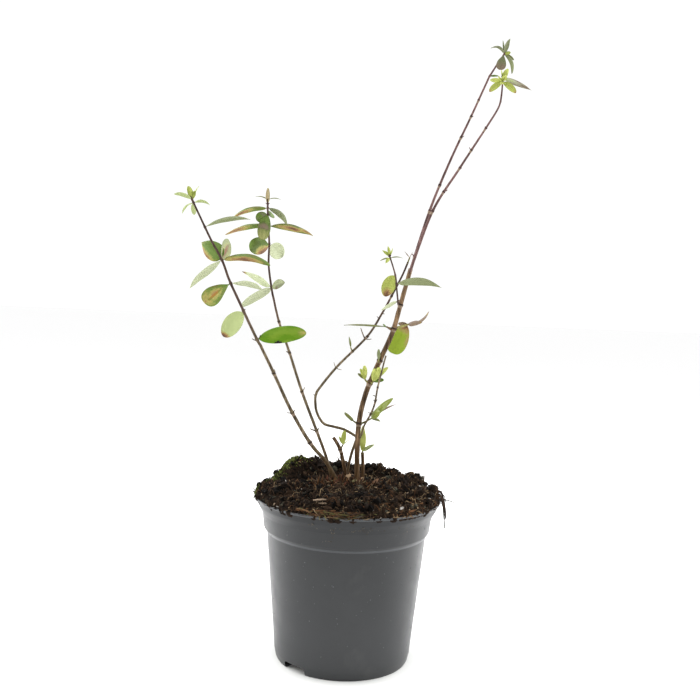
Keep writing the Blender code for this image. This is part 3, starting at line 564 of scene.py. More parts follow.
def soil_material(name, dark, brown):
    """Rough peat: near-black to brown in fine grains."""
    material, shader = new_material(name, dark, 0.95, 0.03)
    tree = material.node_tree
    grain = noise_of(tree, 420.0, 6.0)
    tint = ramp_of(tree, grain, ((0.40, dark), (0.64, brown)))
    patch = ramp_of(tree, noise_of(tree, 60.0, 3.0), ((0.44, (0, 0, 0)), (0.64, (0.7, 0.7, 0.7))))
    tree.links.new(mix_of(tree, patch, tint, brown), shader.inputs["Base Color"])
    bump_of(tree, shader, grain, 1.0, 0.0016)
    return material


def bark_material(name, dark, light, streak, upper, share):
    """Bark with lengthwise streaks and fine grain, and a share of another colour higher up."""
    material, shader = new_material(name, dark, 0.65, 0.10)
    tree = material.node_tree
    along = noise_of(tree, 620.0, 4.0, (1.0, 1.0, 0.10))
    tint = ramp_of(tree, along, ((0.38, dark), (0.56, light), (0.76, streak)))
    shade = ramp_of(tree, noise_of(tree, 60.0, 3.0), ((0.38, (0.48, 0.48, 0.48)), (0.62, (1, 1, 1))))
    risen = mix_of(tree, by_height(tree, *UPPER_BARK, 0.0, share), tint, upper)
    mixed = mix_of(tree, 1.0, risen, shade, "MULTIPLY")
    reddened = mix_of(tree, by_height(tree, GROUND, FOOT_TOP, 0.85, 0.0), mixed, FOOT_RED)
    tree.links.new(reddened, shader.inputs["Base Color"])
    bump_of(tree, shader, along, 0.5, 0.0005)
    return material


def leaf_material(name, colour):
    """A leaf's satin surface in one plain colour, with fine relief."""
    material, shader = new_material(name, colour, 0.5, 0.14)
    tree = material.node_tree
    bump_of(tree, shader, noise_of(tree, 420.0, 2.0), 0.06, 0.0004)
    return material


def plain_material(name, colour, roughness=0.9):
    """A rough small thing with a grain on it."""
    material, shader = new_material(name, colour, roughness, 0.06)
    tree = material.node_tree
    grain = noise_of(tree, 500.0, 3.0)
    deep = tuple(value * 0.6 for value in colour)
    tree.links.new(ramp_of(tree, grain, ((0.35, deep), (0.65, colour))), shader.inputs["Base Color"])
    bump_of(tree, shader, grain, 0.6, 0.0006)
    return material


# Meshes

def add_piece(name, mesh, materials, replaced=(), smooth=True):
    """An object of the part: it gets its materials, rides on the body and replaces its nodes."""
    piece = bpy.data.objects.new(name, mesh)
    bpy.context.scene.collection.objects.link(piece)
    for material in materials:
        mesh.materials.append(material)
    if smooth:
        mesh.shade_smooth()
    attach(piece, "root")
    if replaced:
        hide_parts(*replaced)
    return piece


def mesh_from(name, verts, faces, kinds=None):
    """A mesh from points in millimetres, its faces, and each face's material number."""
    mesh = bpy.data.meshes.new(name)
    mesh.from_pydata([tuple(vert * MM) for vert in verts], [], faces)
    if kinds is not None:
        mesh.polygons.foreach_set("material_index", kinds)
    mesh.validate()
    return mesh


def direction(azimuth, rise):
    """The unit vector of an azimuth from +X and a rise above level, in degrees."""
    turn, lift = math.radians(azimuth), math.radians(rise)
    return Vector((math.cos(lift) * math.cos(turn), math.cos(lift) * math.sin(turn), math.sin(lift)))


def clamp(value, low=0.0, high=1.0):
    """The value kept between two limits."""
    return min(max(value, low), high)


# Pot

def fillet(line, radius, steps=4):
    """The line with each inner corner rounded by a short curve."""
    rounded = [line[0]]
    for before, corner, after in zip(line, line[1:], line[2:]):
        back, ahead = before - corner, after - corner
        reach = min(radius, back.length * 0.45, ahead.length * 0.45)
        start, end = corner + back.normalized() * reach, corner + ahead.normalized() * reach
        for step in range(steps + 1):
            t = step / steps
            rounded.append(start * (1 - t) ** 2 + corner * 2 * t * (1 - t) + end * t * t)
    rounded.append(line[-1])
    return rounded


def pot_outline(dressed):
    """The outer side of the pot from the rim down to the base, as radius and height; dressed,
    it has its rolled lip."""
    flare = RIM_RADIUS - COLLAR_TOP_RADIUS
    rise = POT_HEIGHT - 1.0 - COLLAR_TOP
    if dressed:
        lip, inside = POT_HEIGHT - LIP_HEIGHT, RIM_RADIUS - LIP_UNDERCUT
        outline = [(RIM_RADIUS, POT_HEIGHT), (RIM_RADIUS, lip), (inside, lip - 0.2), (inside, lip - GROOVE_HEIGHT)]
        curve = ((0.56, 0.55), (0.26, 0.28))
    else:
        outline = [(RIM_RADIUS, POT_HEIGHT), (RIM_RADIUS, POT_HEIGHT - 1.0)]
        curve = ((0.90, 0.80), (0.63, 0.55), (0.26, 0.28))
    for share_out, share_up in curve:
        outline.append((COLLAR_TOP_RADIUS + share_out * flare, COLLAR_TOP + share_up * rise))
    bead_share = BEAD_HEIGHT / (COLLAR_FOOT - BODY_TOP)
    outline += [
        (COLLAR_TOP_RADIUS, COLLAR_TOP),
        (COLLAR_FOOT_RADIUS, COLLAR_FOOT),
        (BODY_TOP_RADIUS + bead_share * (COLLAR_FOOT_RADIUS - BODY_TOP_RADIUS), BODY_TOP + BEAD_HEIGHT),
        (BODY_TOP_RADIUS, BODY_TOP),
        (BASE_RADIUS + 2.4, 8.0),
        (BASE_RADIUS + 1.2, 2.0),
        (BASE_RADIUS, 0.0),
    ]
    return [Vector(point) for point in outline]


def inner_outline(distance):
    """The pot's outline moved inwards by a distance, ending on a floor that much thicker."""
    outer = pot_outline(False)
    floor = POT_FLOOR + distance - POT_WALL
    inner = []
    for index, spot in enumerate(outer[:-1]):
        slope = (outer[max(index - 1, 0)] - outer[index + 1]).normalized()
        inner.append(Vector((spot.x - slope.y * distance, spot.y + slope.x * distance)))
    inner = [point for point in inner if point.y > floor + 1.0]
    inner.append(Vector((inner[-1].x - 0.5, floor)))
    return inner


def turned_mesh(name, line, steps, rings=None):
    """A closed solid of revolution from an outline that starts and ends on the axis; where
    rings of points are given, they take the place of the outline's first rings."""
    verts, faces = [], []
    given = rings or []
    levels = line[1:-1]
    for index, (radius, height) in enumerate(levels):
        if index < len(given):
            verts += given[index]
            continue
        for step in range(steps):
            turn = math.tau * step / steps
            verts.append(Vector((radius * math.cos(turn), radius * math.sin(turn), height)))
    for ring in range(len(levels) - 1):
        for step in range(steps):
            a, b = ring * steps + step, ring * steps + (step + 1) % steps
            faces.append((a, a + steps, b + steps, b))
    top, bottom = len(verts), len(verts) + 1
    verts += [Vector((0.0, 0.0, line[0].y)), Vector((0.0, 0.0, line[-1].y))]
    last = (len(levels) - 1) * steps
    for step in range(steps):
        after = (step + 1) % steps
        faces.append((top, step, after))
        faces.append((bottom, last + after, last + step))
    return mesh_from(name, verts, faces)


def notch_block(name, azimuth, grow):
    """A block with rounded upper edges that reaches in from the pot's foot."""
    work = bmesh.new()
    bmesh.ops.create_cube(work, size=1.0)
    low, high = -2.0, NOTCH_HEIGHT + grow
    inner, outer = BASE_RADIUS - NOTCH_REACH - grow, BASE_RADIUS + 12.0
    half = NOTCH_WIDTH / 2 + grow
    for vert in work.verts:
        vert.co.x = (outer if vert.co.x > 0 else inner) * MM
        vert.co.y = (half if vert.co.y > 0 else -half) * MM
        vert.co.z = (high if vert.co.z > 0 else low) * MM
    upper = [e for e in work.edges if all(v.co.z > 0 for v in e.verts)
             and abs(e.verts[0].co.x - e.verts[1].co.x) > MM]
    bmesh.ops.bevel(work, geom=upper, offset=(NOTCH_ROUNDING + grow) * MM, segments=6,
                    affect="EDGES", profile=0.5)
    mesh = bpy.data.meshes.new(name)
    work.to_mesh(mesh)
    work.free()
    block = bpy.data.objects.new(name, mesh)
    bpy.context.scene.collection.objects.link(block)
    block.rotation_euler.z = math.radians(azimuth)
    return block


def carve(mesh, name, blocks):
    """The mesh less the blocks, which are removed."""
    body = bpy.data.objects.new(name, mesh)
    bpy.context.scene.collection.objects.link(body)
    for block in blocks:
        boolean = body.modifiers.new(block.name, "BOOLEAN")
        boolean.operation = "DIFFERENCE"
        boolean.solver = "EXACT"
        boolean.object = block
    graph = bpy.context.evaluated_depsgraph_get()
    carved = bpy.data.meshes.new_from_object(body.evaluated_get(graph))
    for item in [body, *blocks]:
        bpy.data.objects.remove(item, do_unlink=True)
    return carved


def pot_zone(spot):
    """Which look a face of the pot has: body (0), painted highlight on the lip's top and the step's
    bead (1), painted shade in the groove under the lip (2) or the duller flare under the rim (3)."""
    reach, height = math.hypot(spot.x, spot.y), spot.z
    lip = POT_HEIGHT - LIP_HEIGHT
    if height > lip - 0.05 and reach > RIM_RADIUS - LIP_UNDERCUT:
        return 1
    if lip - GROOVE_HEIGHT - 1.2 < height < lip and reach > RIM_RADIUS - LIP_UNDERCUT - 1.0:
        return 2
    if BODY_TOP - 0.3 < height < BODY_TOP + BEAD_HEIGHT and reach > BODY_TOP_RADIUS - 0.3:
        return 1
    return 3 if height > COLLAR_TOP and reach > COLLAR_TOP_RADIUS - 0.1 else 0


def make_pot():
    """The pot: a turned shell with rounded corners, carved by its two drain notches."""
    outer = fillet(pot_outline(True), 0.8)
    inner = fillet(inner_outline(POT_WALL), 0.9)
    line = [Vector((0.0, POT_FLOOR)), *reversed(inner), *outer, Vector((0.0, 0.0))]
    shell = turned_mesh("pot_shell", line, POT_STEPS)
    blocks = [notch_block(f"notch_{i}", azimuth, 0.0) for i, azimuth in enumerate(NOTCH_AZIMUTHS)]
    carved = carve(shell, "pot_shell", blocks)
    for face in carved.polygons:
        face.material_index = pot_zone(face.center / MM)
    looks = [pot_material("pot_plastic_look", POT_TONE, POT_GLOSS),
             # The lip's top and the step's bead: painted highlight
             pot_material("pot_highlight_look", HIGHLIGHT_TONE, POT_GLOSS),
             # The groove under the lip: painted shade
             pot_material("pot_groove_shade_look", GROOVE_SHADE_TONE, POT_GLOSS),
             pot_material("pot_flare_look", POT_TONE, FLARE_GLOSS)]
    add_piece("pot_shell", carved, looks, ("pot",))
    carved.set_sharp_from_angle(angle=math.radians(40))


# Soil

def mound_height(x, y):
    """How high the clods stand over the even mound at a place."""
    reach = math.hypot(x, y)
    fade = clamp((reach - CROWN_RADIUS) / CLOD_FADE_IN) * clamp((SOIL_REACH - reach) / CLOD_FADE_OUT)
    lift = 0.0
    for clod_x, clod_y, height, radius in CLODS:
        share = math.hypot(x - clod_x, y - clod_y) / radius
        if share < 1.0:
            lift += height * (1.0 - share * share) ** 1.2
    return fade * lift


def even_height(reach):
    """The even mound's height at a distance from the axis: level, then a rounded shoulder."""
    share = clamp((reach - CROWN_RADIUS) / (SOIL_REACH - CROWN_RADIUS))
    return SOIL_EDGE_HEIGHT + (CROWN_HEIGHT - SOIL_EDGE_HEIGHT) * (1.0 - share ** 3.2) ** 0.55


def soil_profile(samples=400):
    """The even mound's outline as radius, height and distance along it."""
    line, along = [], 0.0
    for index in range(samples + 1):
        share = 1.0 - (1.0 - index / samples) ** 2
        spot = Vector((SOIL_REACH * share, even_height(SOIL_REACH * share)))
        along += (spot - line[-1][0]).length if line else 0.0
        line.append((spot, along))
    return line


SOIL_REACH = inner_outline(POT_WALL + CLEARANCE)[0].x
PROFILE = soil_profile()
PROFILE_LENGTH = PROFILE[-1][1]


def profile_at(along):
    """The radius and height on the mound's outline, and its outward tilt, at a distance."""
    low, high = 0, len(PROFILE) - 1
    while high - low > 1:
        middle = (low + high) // 2
        if PROFILE[middle][1] <= along:
            low = middle
        else:
            high = middle
    (start, before), (end, after) = PROFILE[low], PROFILE[high]
    share = clamp((along - before) / max(after - before, 1e-9))
    return start.lerp(end, share), math.atan2(start.y - end.y, end.x - start.x)


def cell_dome(spot, size):
    """A round hump in each cell of an uneven grid, from 0 in its creases to 1 at its top."""
    distance = noise.voronoi(spot / size)[0][0]
    return clamp(1.0 - (distance / 0.75) ** 2)


def soil_spot(along, turn):
    """A place on the rough soil and the way it faces, from the distance down the even
    mound's outline and the turn round the axis."""
    spot, tilt = profile_at(along)
    x, y = spot.x * math.cos(turn), spot.x * math.sin(turn)
    facing = Vector((math.sin(tilt) * math.cos(turn), math.sin(tilt) * math.sin(turn), math.cos(tilt)))
    place = Vector((x, y, spot.y + mound_height(x, y)))
    rough = sum(height * cell_dome(place, size) for size, height in SOIL_LUMPS)
    rough += SOIL_GRAIN * noise.noise(place * 1.3) - SOIL_LEVEL
    return place + facing * rough, facing


def make_soil():
    """The soil: a fine rough mound over the body that fills the pot."""
    wall = inner_outline(POT_WALL + CLEARANCE)
    wall = [point for point in wall[1:] if point.y < SOIL_EDGE_HEIGHT - 3.0]
    distances = [PROFILE_LENGTH * ring / SOIL_RINGS for ring in range(1, SOIL_RINGS + 1)]
    rings = [[soil_spot(along, math.tau * step / SOIL_SPOKES)[0] for step in range(SOIL_SPOKES)]
             for along in distances]
    line = [Vector((0.0, CROWN_HEIGHT)), *[profile_at(along)[0] for along in distances], *wall,
            Vector((0.0, wall[-1].y))]
    blank = turned_mesh("soil_mound", line, SOIL_SPOKES, rings)
    blocks = [notch_block(f"soil_notch_{i}", azimuth, POT_WALL + CLEARANCE)
              for i, azimuth in enumerate(NOTCH_AZIMUTHS)]
    carved = carve(blank, "soil_mound", blocks)
    peat = soil_material("peat_look", (0.0075, 0.0055, 0.0045), (0.024, 0.0155, 0.0105))
    return add_piece("soil_mound", carved, [peat], ("soil",))


def random_spot(dice, nearest=0.0):
    """A place on the soil, even over its area, also on its steep edge: distance and turn."""
    while True:
        along = dice.uniform(nearest, PROFILE_LENGTH)
        if dice.random() * SOIL_REACH < profile_at(along)[0].x:
            return along, dice.uniform(0, math.tau)


def ball(subdivisions):
    """The corners and faces of a ball of diameter 1."""
    work = bmesh.new()
    bmesh.ops.create_icosphere(work, subdivisions=subdivisions, radius=0.5)
    corners = [vert.co.copy() for vert in work.verts]
    faces = [tuple(vert.index for vert in face.verts) for face in work.faces]
    work.free()
    return corners, faces


SMALL_BALL = ball(1)
LARGE_BALL = ball(2)


def lump(dice, shape, place, size, verts, faces):
    """An irregular lump, dented and squashed; it returns how many faces it has."""
    corners, sides = shape
    start = len(verts)
    spin = (Matrix.Rotation(dice.uniform(0, math.tau), 3, "X")
            @ Matrix.Rotation(dice.uniform(0, math.tau), 3, "Z"))
    squash = Vector([dice.uniform(0.45, 1.15) for _ in range(3)])
    shift = Vector([dice.uniform(0, 90) for _ in range(3)])
    for corner in corners:
        dent = 1.0 + 0.9 * noise.noise(corner * 5.0 + shift)
        verts.append(place + spin @ (corner * squash * size * dent))
    faces += [tuple(start + index for index in face) for face in sides]
    return len(sides)


def pick_look(dice, spot, weights):
    """A material number by weights for the dark places, mostly at the left, and the paler ones."""
    clump = (spot.x - DARK_CLUMP[0]) ** 2 + (spot.y - DARK_CLUMP[1]) ** 2
    share = clamp(0.5 + spot.x / 110.0 + 1.5 * noise.noise(spot * 0.06) - math.exp(-clump / DARK_CLUMP[2] ** 2))
    mixed = [left + (right - left) * share for left, right in zip(*weights)]
    return dice.choices(range(len(mixed)), mixed)


def scatter_lumps(name, count, shape, sizes, sunk, materials, weights):
    """Lumps strewn over the soil, of sizes from small to large with few large ones."""
    dice = random.Random(name)
    verts, faces, kinds = [], [], []
    for _ in range(count):
        along, turn = random_spot(dice)
        spot, facing = soil_spot(along, turn)
        size = sizes[0] + (sizes[1] - sizes[0]) * dice.random() ** 3
        if along > PROFILE_LENGTH - 4.0:
            size = min(size, 2.5)
        made = lump(dice, shape, spot + facing * size * dice.uniform(-sunk, 0.3), size, verts, faces)
        kinds += pick_look(dice, spot, weights) * made
    mesh = mesh_from(name, verts, faces, kinds)
    return add_piece(name, mesh, materials, smooth=False)


def tube_rings(course, radii, sides, verts, faces, relief=None):
    """Appends a closed tube along a course, with the radius at each point."""
    start = len(verts)
    side = None
    for index, (spot, radius) in enumerate(zip(course, radii)):
        before, after = course[max(index - 1, 0)], course[min(index + 1, len(course) - 1)]
        tangent = (after - before).normalized()
        if side is None:
            side = tangent.orthogonal().normalized()
        side = (side - tangent * side.dot(tangent)).normalized()
        other = tangent.cross(side)
        for step in range(sides):
            turn = math.tau * step / sides
            grown = radius + (relief(index, turn) if relief else 0.0)
            verts.append(spot + (side * math.cos(turn) + other * math.sin(turn)) * grown)
    for ring in range(len(course) - 1):
        for step in range(sides):
            a, b = start + ring * sides + step, start + ring * sides + (step + 1) % sides
            faces.append((a, b, b + sides, a + sides))
    last = start + (len(course) - 1) * sides
    faces.append(tuple(start + step for step in reversed(range(sides))))
    faces.append(tuple(last + step for step in range(sides)))
    return (len(course) - 1) * sides + 2


def fibre_course(dice, along, turn, length, lift):
    """A fibre's bent course over the soil; past the rim it goes on outwards and droops."""
    course = []
    heading = dice.uniform(0, math.tau)
    pieces = 7
    for step in range(pieces):
        spot, facing = soil_spot(clamp(along, 0.5, PROFILE_LENGTH - 1.0), turn)
        past = max(along - PROFILE_LENGTH + 1.0, 0.0)
        outward = Vector((math.cos(turn), math.sin(turn), 0.0))
        rise = 0.3 + lift * math.sin(math.pi * step / (pieces - 1))
        course.append(spot + facing * rise + outward * past * 0.8 - UP * 0.06 * past * past)
        heading += dice.uniform(-0.5, 0.5)
        along += math.cos(heading) * length / pieces
        turn += math.sin(heading) * length / pieces / max(profile_at(clamp(along, 4.0, PROFILE_LENGTH))[0].x, 8.0)
        along = clamp(along, 1.0, PROFILE_LENGTH + 2.0)
    return course


def make_fibres(materials, weights):
    """Fine roots and peat fibres that lie over the soil and over the rim."""
    dice = random.Random("fibres")
    verts, faces, kinds = [], [], []
    for _ in range(FIBRE_COUNT):
        along, turn = random_spot(dice)
        length = dice.uniform(2.5, 9) if dice.random() < 0.86 else dice.uniform(9, 20)
        course = fibre_course(dice, along, turn, length, dice.choice((0.3, 0.6, 1.2, 2.2, 4.0)))
        thick = dice.choice((0.12, 0.18, 0.26, 0.38))
        radii = [thick * (1.0 - 0.6 * i / len(course)) for i in range(len(course))]
        count = tube_rings(course, radii, 4, verts, faces)
        kinds += pick_look(dice, course[0], weights) * count
    mesh = mesh_from("soil_fibres", verts, faces, kinds)
    return add_piece("soil_fibres", mesh, materials)


# Strands that hang over the rim: azimuth, start over the rim, how far out, how far down,
# a sideways drift, the radius and the look
HANGING = (
    (0.0, 7.0, 5.0, 26.0, 1.5, 1.10, 2),
    (0.0, 4.0, 4.5, 33.0, 1.0, 0.95, 2),
    (-4.0, 6.0, 4.0, 25.0, 2.0, 0.90, 2),
    (3.0, 7.0, 5.0, 15.0, -4.0, 0.60, 2),
    (-6.0, 5.0, 2.5, 14.0, 4.0, 0.80, 1),
    (-9.0, 1.5, 14.0, 8.0, 12.0, 0.50, 2),
    (-3.0, 0.5, 17.0, 11.0, 6.0, 0.30, 2),
    (5.0, 6.0, 7.0, 9.0, -5.0, 0.35, 1),
    (-12.0, 3.0, 1.5, 7.0, 1.5, 0.50, 2),
    (-168.0, 1.0, 1.2, 7.0, -3.0, 0.30, 2),
    (-164.0, 0.5, 1.0, 8.5, 2.0, 0.35, 2),
    (-53.0, 1.5, 0.6, 4.5, 5.0, 0.65, 0),
    (-50.0, 1.5, 0.6, 4.0, -7.0, 0.50, 0),
    (-57.0, 1.5, 0.6, 3.5, 4.0, 0.45, 1),
    (-104.0, 1.2, 0.4, 4.0, 4.0, 0.60, 3),
    (-106.0, 1.2, 0.4, 4.5, 1.0, 0.45, 3),
    (60.0, 3.0, 3.0, 12.0, 2.0, 0.35, 2),
    (118.0, 3.0, 2.0, 9.0, -2.0, 0.35, 1),
)


def make_hanging_strands(materials):
    """Fibres and thin roots that hang over the pot's rim."""
    dice = random.Random("hanging")
    verts, faces, kinds = [], [], []
    pieces = 9
    for azimuth, over, out, down, drift, thick, look in HANGING:
        outward, aside = direction(azimuth, 0), direction(azimuth + 90, 0)
        course = []
        for step in range(pieces):
            t = step / (pieces - 1)
            wander = aside * (drift * t + dice.uniform(-0.5, 0.5)) + outward * dice.uniform(-0.3, 0.3)
            reach = RIM_RADIUS - 4.0 + (out + 5.0) * t ** 0.7
            course.append(outward * reach + wander + UP * (POT_HEIGHT + over + 1.5 * math.sin(2 * t) - down * t * t))
        radii = [thick * (1.0 - 0.5 * step / pieces) for step in range(pieces)]
        kinds += [look] * tube_rings(course, radii, 5, verts, faces)
    mesh = mesh_from("hanging_strands", verts, faces, kinds)
    return add_piece("hanging_strands", mesh, materials)


def flake(dice, place, facing, size, verts, faces, along=None):
    """A thin uneven flake that lies on a surface; it returns how many faces it has."""
    start = len(verts)
    length, width, thick = size
    if along is None:
        along = Matrix.Rotation(dice.uniform(0, math.tau), 3, facing) @ facing.orthogonal().normalized()
    across = facing.cross(along)
    tilt = facing * dice.uniform(-0.25, 0.25)
    corners = 7
    rim = []
    for step in range(corners):
        turn = math.tau * step / corners
        reach = dice.uniform(0.75, 1.1)
        rim.append(along * math.cos(turn) * length / 2 * reach + across * math.sin(turn) * width / 2 * reach
                   + tilt * math.cos(turn) * length / 2)
    for level in (0.0, thick):
        verts += [place + spot + facing * level for spot in rim]
    faces.append(tuple(start + step for step in reversed(range(corners))))
    faces.append(tuple(start + corners + step for step in range(corners)))
    for step in range(corners):
        after = (step + 1) % corners
        faces.append((start + step, start + after, start + corners + after, start + corners + step))
    return corners + 2


# Chips that the photograph shows: distance along the mound's outline, azimuth, length, width
# and look
SEEN_CHIPS = (
    (70.0, -110.0, 13.0, 2.4, 0), (71.5, -107.0, 9.0, 1.8, 0), (82.6, -117.0, 13.0, 1.8, 1),
    (83.2, -111.0, 12.0, 1.5, 1), (79.5, -54.8, 6.0, 2.8, 3), (67.0, 8.0, 6.5, 2.4, 3),
    (84.0, -50.0, 9.0, 1.8, 2), (60.0, -30.0, 8.0, 0.9, 0), (62.0, -48.0, 9.0, 0.8, 0),
    (25.0, -130.0, 7.0, 2.0, 1),
)
# Straw along the rim's front: the middle azimuth, its spread, the depth of the band, the looks
RIM_STRAW = (-97.0, 9.0, 5.0)
RIM_STRAW_LOOKS = (1, 2, 2, 5, 5, 5, 6, 7, 7)


def make_chips(materials, weights):
    """Chips of bark and wood, and many small shreds, on the soil."""
    dice = random.Random("chips")
    verts, faces, kinds = [], [], []
    for along, azimuth, length, width, look in SEEN_CHIPS:
        spot, facing = soil_spot(along, math.radians(azimuth))
        size = (length, width, 0.8)
        kinds += [look] * flake(dice, spot + facing * 1.3, facing, size, verts, faces, direction(azimuth + 90, 0))
    middle, spread, depth = RIM_STRAW
    for _ in range(RIM_STRAW_COUNT):
        azimuth = dice.gauss(middle, spread)
        spot, facing = soil_spot(PROFILE_LENGTH - dice.uniform(0.5, depth), math.radians(azimuth))
        size = (dice.uniform(3.0, 11.0), dice.uniform(0.4, 1.1), 0.5)
        lying = direction(azimuth + 90 + dice.gauss(0, 16), dice.gauss(0, 8))
        place = spot + facing * dice.uniform(0.2, 1.6)
        kinds += [dice.choice(RIM_STRAW_LOOKS)] * flake(dice, place, facing, size, verts, faces, lying)
    for _ in range(SHRED_COUNT):
        spot, facing = soil_spot(*random_spot(dice, 4.0))
        facing = (facing + Vector([dice.uniform(-0.9, 0.9) for _ in range(3)])).normalized()
        size = (dice.uniform(1.5, 5.0), dice.uniform(0.5, 1.3), dice.uniform(0.3, 0.6))
        made = flake(dice, spot + UP * dice.uniform(0.1, 0.8), facing, size, verts, faces)
        kinds += pick_look(dice, spot, weights) * made
    mesh = mesh_from("bark_chips", verts, faces, kinds)
    return add_piece("bark_chips", mesh, materials, smooth=False)


def make_foot_litter(materials):
    """Reddish woody slivers that stand and lean round the stems' feet."""
    dice = random.Random("litter")
    verts, faces, kinds = [], [], []
    for count, lengths, widths, rises, looks, lift in FOOT_LITTER_SORTS:
        for _ in range(count):
            x, y = dice.gauss(-5, 13), dice.gauss(-6, 6)
            leaning = direction(dice.uniform(0, 360), dice.uniform(*rises))
            facing = leaning.cross(direction(dice.uniform(0, 360), 5)).normalized()
            size = (dice.uniform(*lengths), dice.uniform(*widths), dice.uniform(0.4, 0.8))
            ground = soil_spot(math.hypot(x, y), math.atan2(y, x))[0]
            heap = LITTER_HEAP * math.exp(-((x + 6) / 14) ** 2 - ((y + 4) / 7) ** 2)
            place = ground + leaning * size[0] * 0.3 + UP * (lift + dice.uniform(0.0, heap))
            kinds += [dice.randrange(*looks)] * flake(dice, place, facing, size, verts, faces, leaning)
    mesh = mesh_from("foot_litter", verts, faces, kinds)
    return add_piece("foot_litter", mesh, materials, smooth=False)


# Moss: the middle of each patch, its spread along x and y, and its share of the tufts
MOSS_PATCHES = ((-58.0, 27.0, 5.0, 5.0, 0.60), (-46.0, 34.0, 5.0, 4.0, 0.34), (-67.0, 16.0, 3.0, 4.0, 0.14),
                (-81.5, -4.0, 1.2, 6.0, 0.16))


def make_moss(materials):
    """Moss on the upper left of the tallest clod, as short leaning blades and crumbs."""
    dice = random.Random("moss")
    verts, faces, kinds = [], [], []
    for middle_x, middle_y, spread_x, spread_y, share in MOSS_PATCHES:
        for _ in range(round(MOSS_COUNT * share)):
            x, y = dice.gauss(middle_x, spread_x), dice.gauss(middle_y, spread_y)
            along = PROFILE_LENGTH * clamp(math.hypot(x, y) / SOIL_REACH) ** 1.06
            spot, facing = soil_spot(along, math.atan2(y, x))
            blade = (facing + Vector([dice.uniform(-0.8, 0.8) for _ in range(3)])).normalized()
            tall = dice.uniform(0.8, 2.4)
            course = [spot - facing * 0.3, spot + blade * tall * 0.5, spot + blade * tall]
            count = tube_rings(course, (0.32, 0.26, 0.08), 4, verts, faces)
            kinds += dice.choices(range(len(materials)), (5, 4, 2)) * count
    return add_piece("moss_patch", mesh_from("moss_patch", verts, faces, kinds), materials)


# Dirt on the pot: the middle's azimuth and height, the spread of each, and how many flecks
DIRT = (
    (-76.0, 139.0, 7.0, 1.6, 42),
    (-98.5, 138.0, 0.8, 3.4, 16),
    (-101.0, 127.5, 2.5, 0.5, 8),
    (-110.0, 140.0, 3.0, 1.5, 8),
    (-50.0, 137.0, 9.0, 3.0, 10),
    (60.0, 138.0, 12.0, 3.0, 14),
    (150.0, 138.0, 14.0, 3.0, 14),
)


def outer_spot(azimuth, height):
    """A place on the pot's outer side and the way it faces."""
    line = pot_outline(False)
    for upper, lower in zip(line, line[1:]):
        if lower.y <= height <= upper.y:
            share = (upper.y - height) / max(upper.y - lower.y, 1e-9)
            slope = math.degrees(math.atan2(lower.x - upper.x, upper.y - lower.y))
            return direction(azimuth, 0) * (upper.x + (lower.x - upper.x) * share) + UP * height, direction(azimuth, slope)
    return direction(azimuth, 0) * BASE_RADIUS + UP * height, direction(azimuth, 0)


def make_pot_flecks(materials):
    """Dried splashes of peat and pale specks on the pot's side."""
    dice = random.Random("flecks")
    verts, faces, kinds = [], [], []
    rows = [(dice.uniform(-180, 180), dice.uniform(10, 132), 2) for _ in range(FLECK_COUNT)]
    for azimuth, height, spread_round, spread_up, count in DIRT:
        rows += [(dice.gauss(azimuth, spread_round), dice.gauss(height, spread_up), dice.randrange(2))
                 for _ in range(count)]
    for azimuth, height, kind in rows:
        spot, facing = outer_spot(azimuth, height)
        size = dice.uniform(0.4, 1.1)
        shape = (size * dice.uniform(1.0, 2.0), size, 0.12)
        kinds += [kind] * flake(dice, spot - facing * 0.03, facing, shape, verts, faces)
    mesh = mesh_from("pot_flecks", verts, faces, kinds)
    return add_piece("pot_flecks", mesh, materials, smooth=False)


# Limbs

def smooth_course(points, pieces=12):
    """A smooth middle line through the points, close enough for its length to be measured."""
    spots = [Vector(point) for point in points]
    line = []
    for index in range(len(spots) - 1):
        before = spots[max(index - 1, 0)]
        start, end = spots[index], spots[index + 1]
        after = spots[min(index + 2, len(spots) - 1)]
        for piece in range(pieces):
            t = piece / pieces
            line.append(0.5 * (2 * start + (end - before) * t
                               + (2 * before - 5 * start + 4 * end - after) * t * t
                               + (3 * start - before - 3 * end + after) * t ** 3))
    line.append(spots[-1])
    return line


def distances_along(line):
    """The distance from the foot at each point of a line."""
    along = [0.0]
    for before, after in zip(line, line[1:]):
        along.append(along[-1] + (after - before).length)
    return along


def spot_at(line, along, distance):
    """The point and the direction of a line at a distance from its foot."""
    distance = clamp(distance, 0.0, along[-1])
    index = next(i for i in range(1, len(line)) if along[i] >= distance - 1e-9)
    start, end = line[index - 1], line[index]
    share = (distance - along[index - 1]) / max(along[index] - along[index - 1], 1e-9)
    return start.lerp(end, share), (end - start).normalized()


def distance_at_height(line, along, height):
    """The distance from the foot at which a line last passes a height."""
    passed = [d for d, point in zip(along, line) if point.z <= height]
    return passed[-1] if passed else 0.0


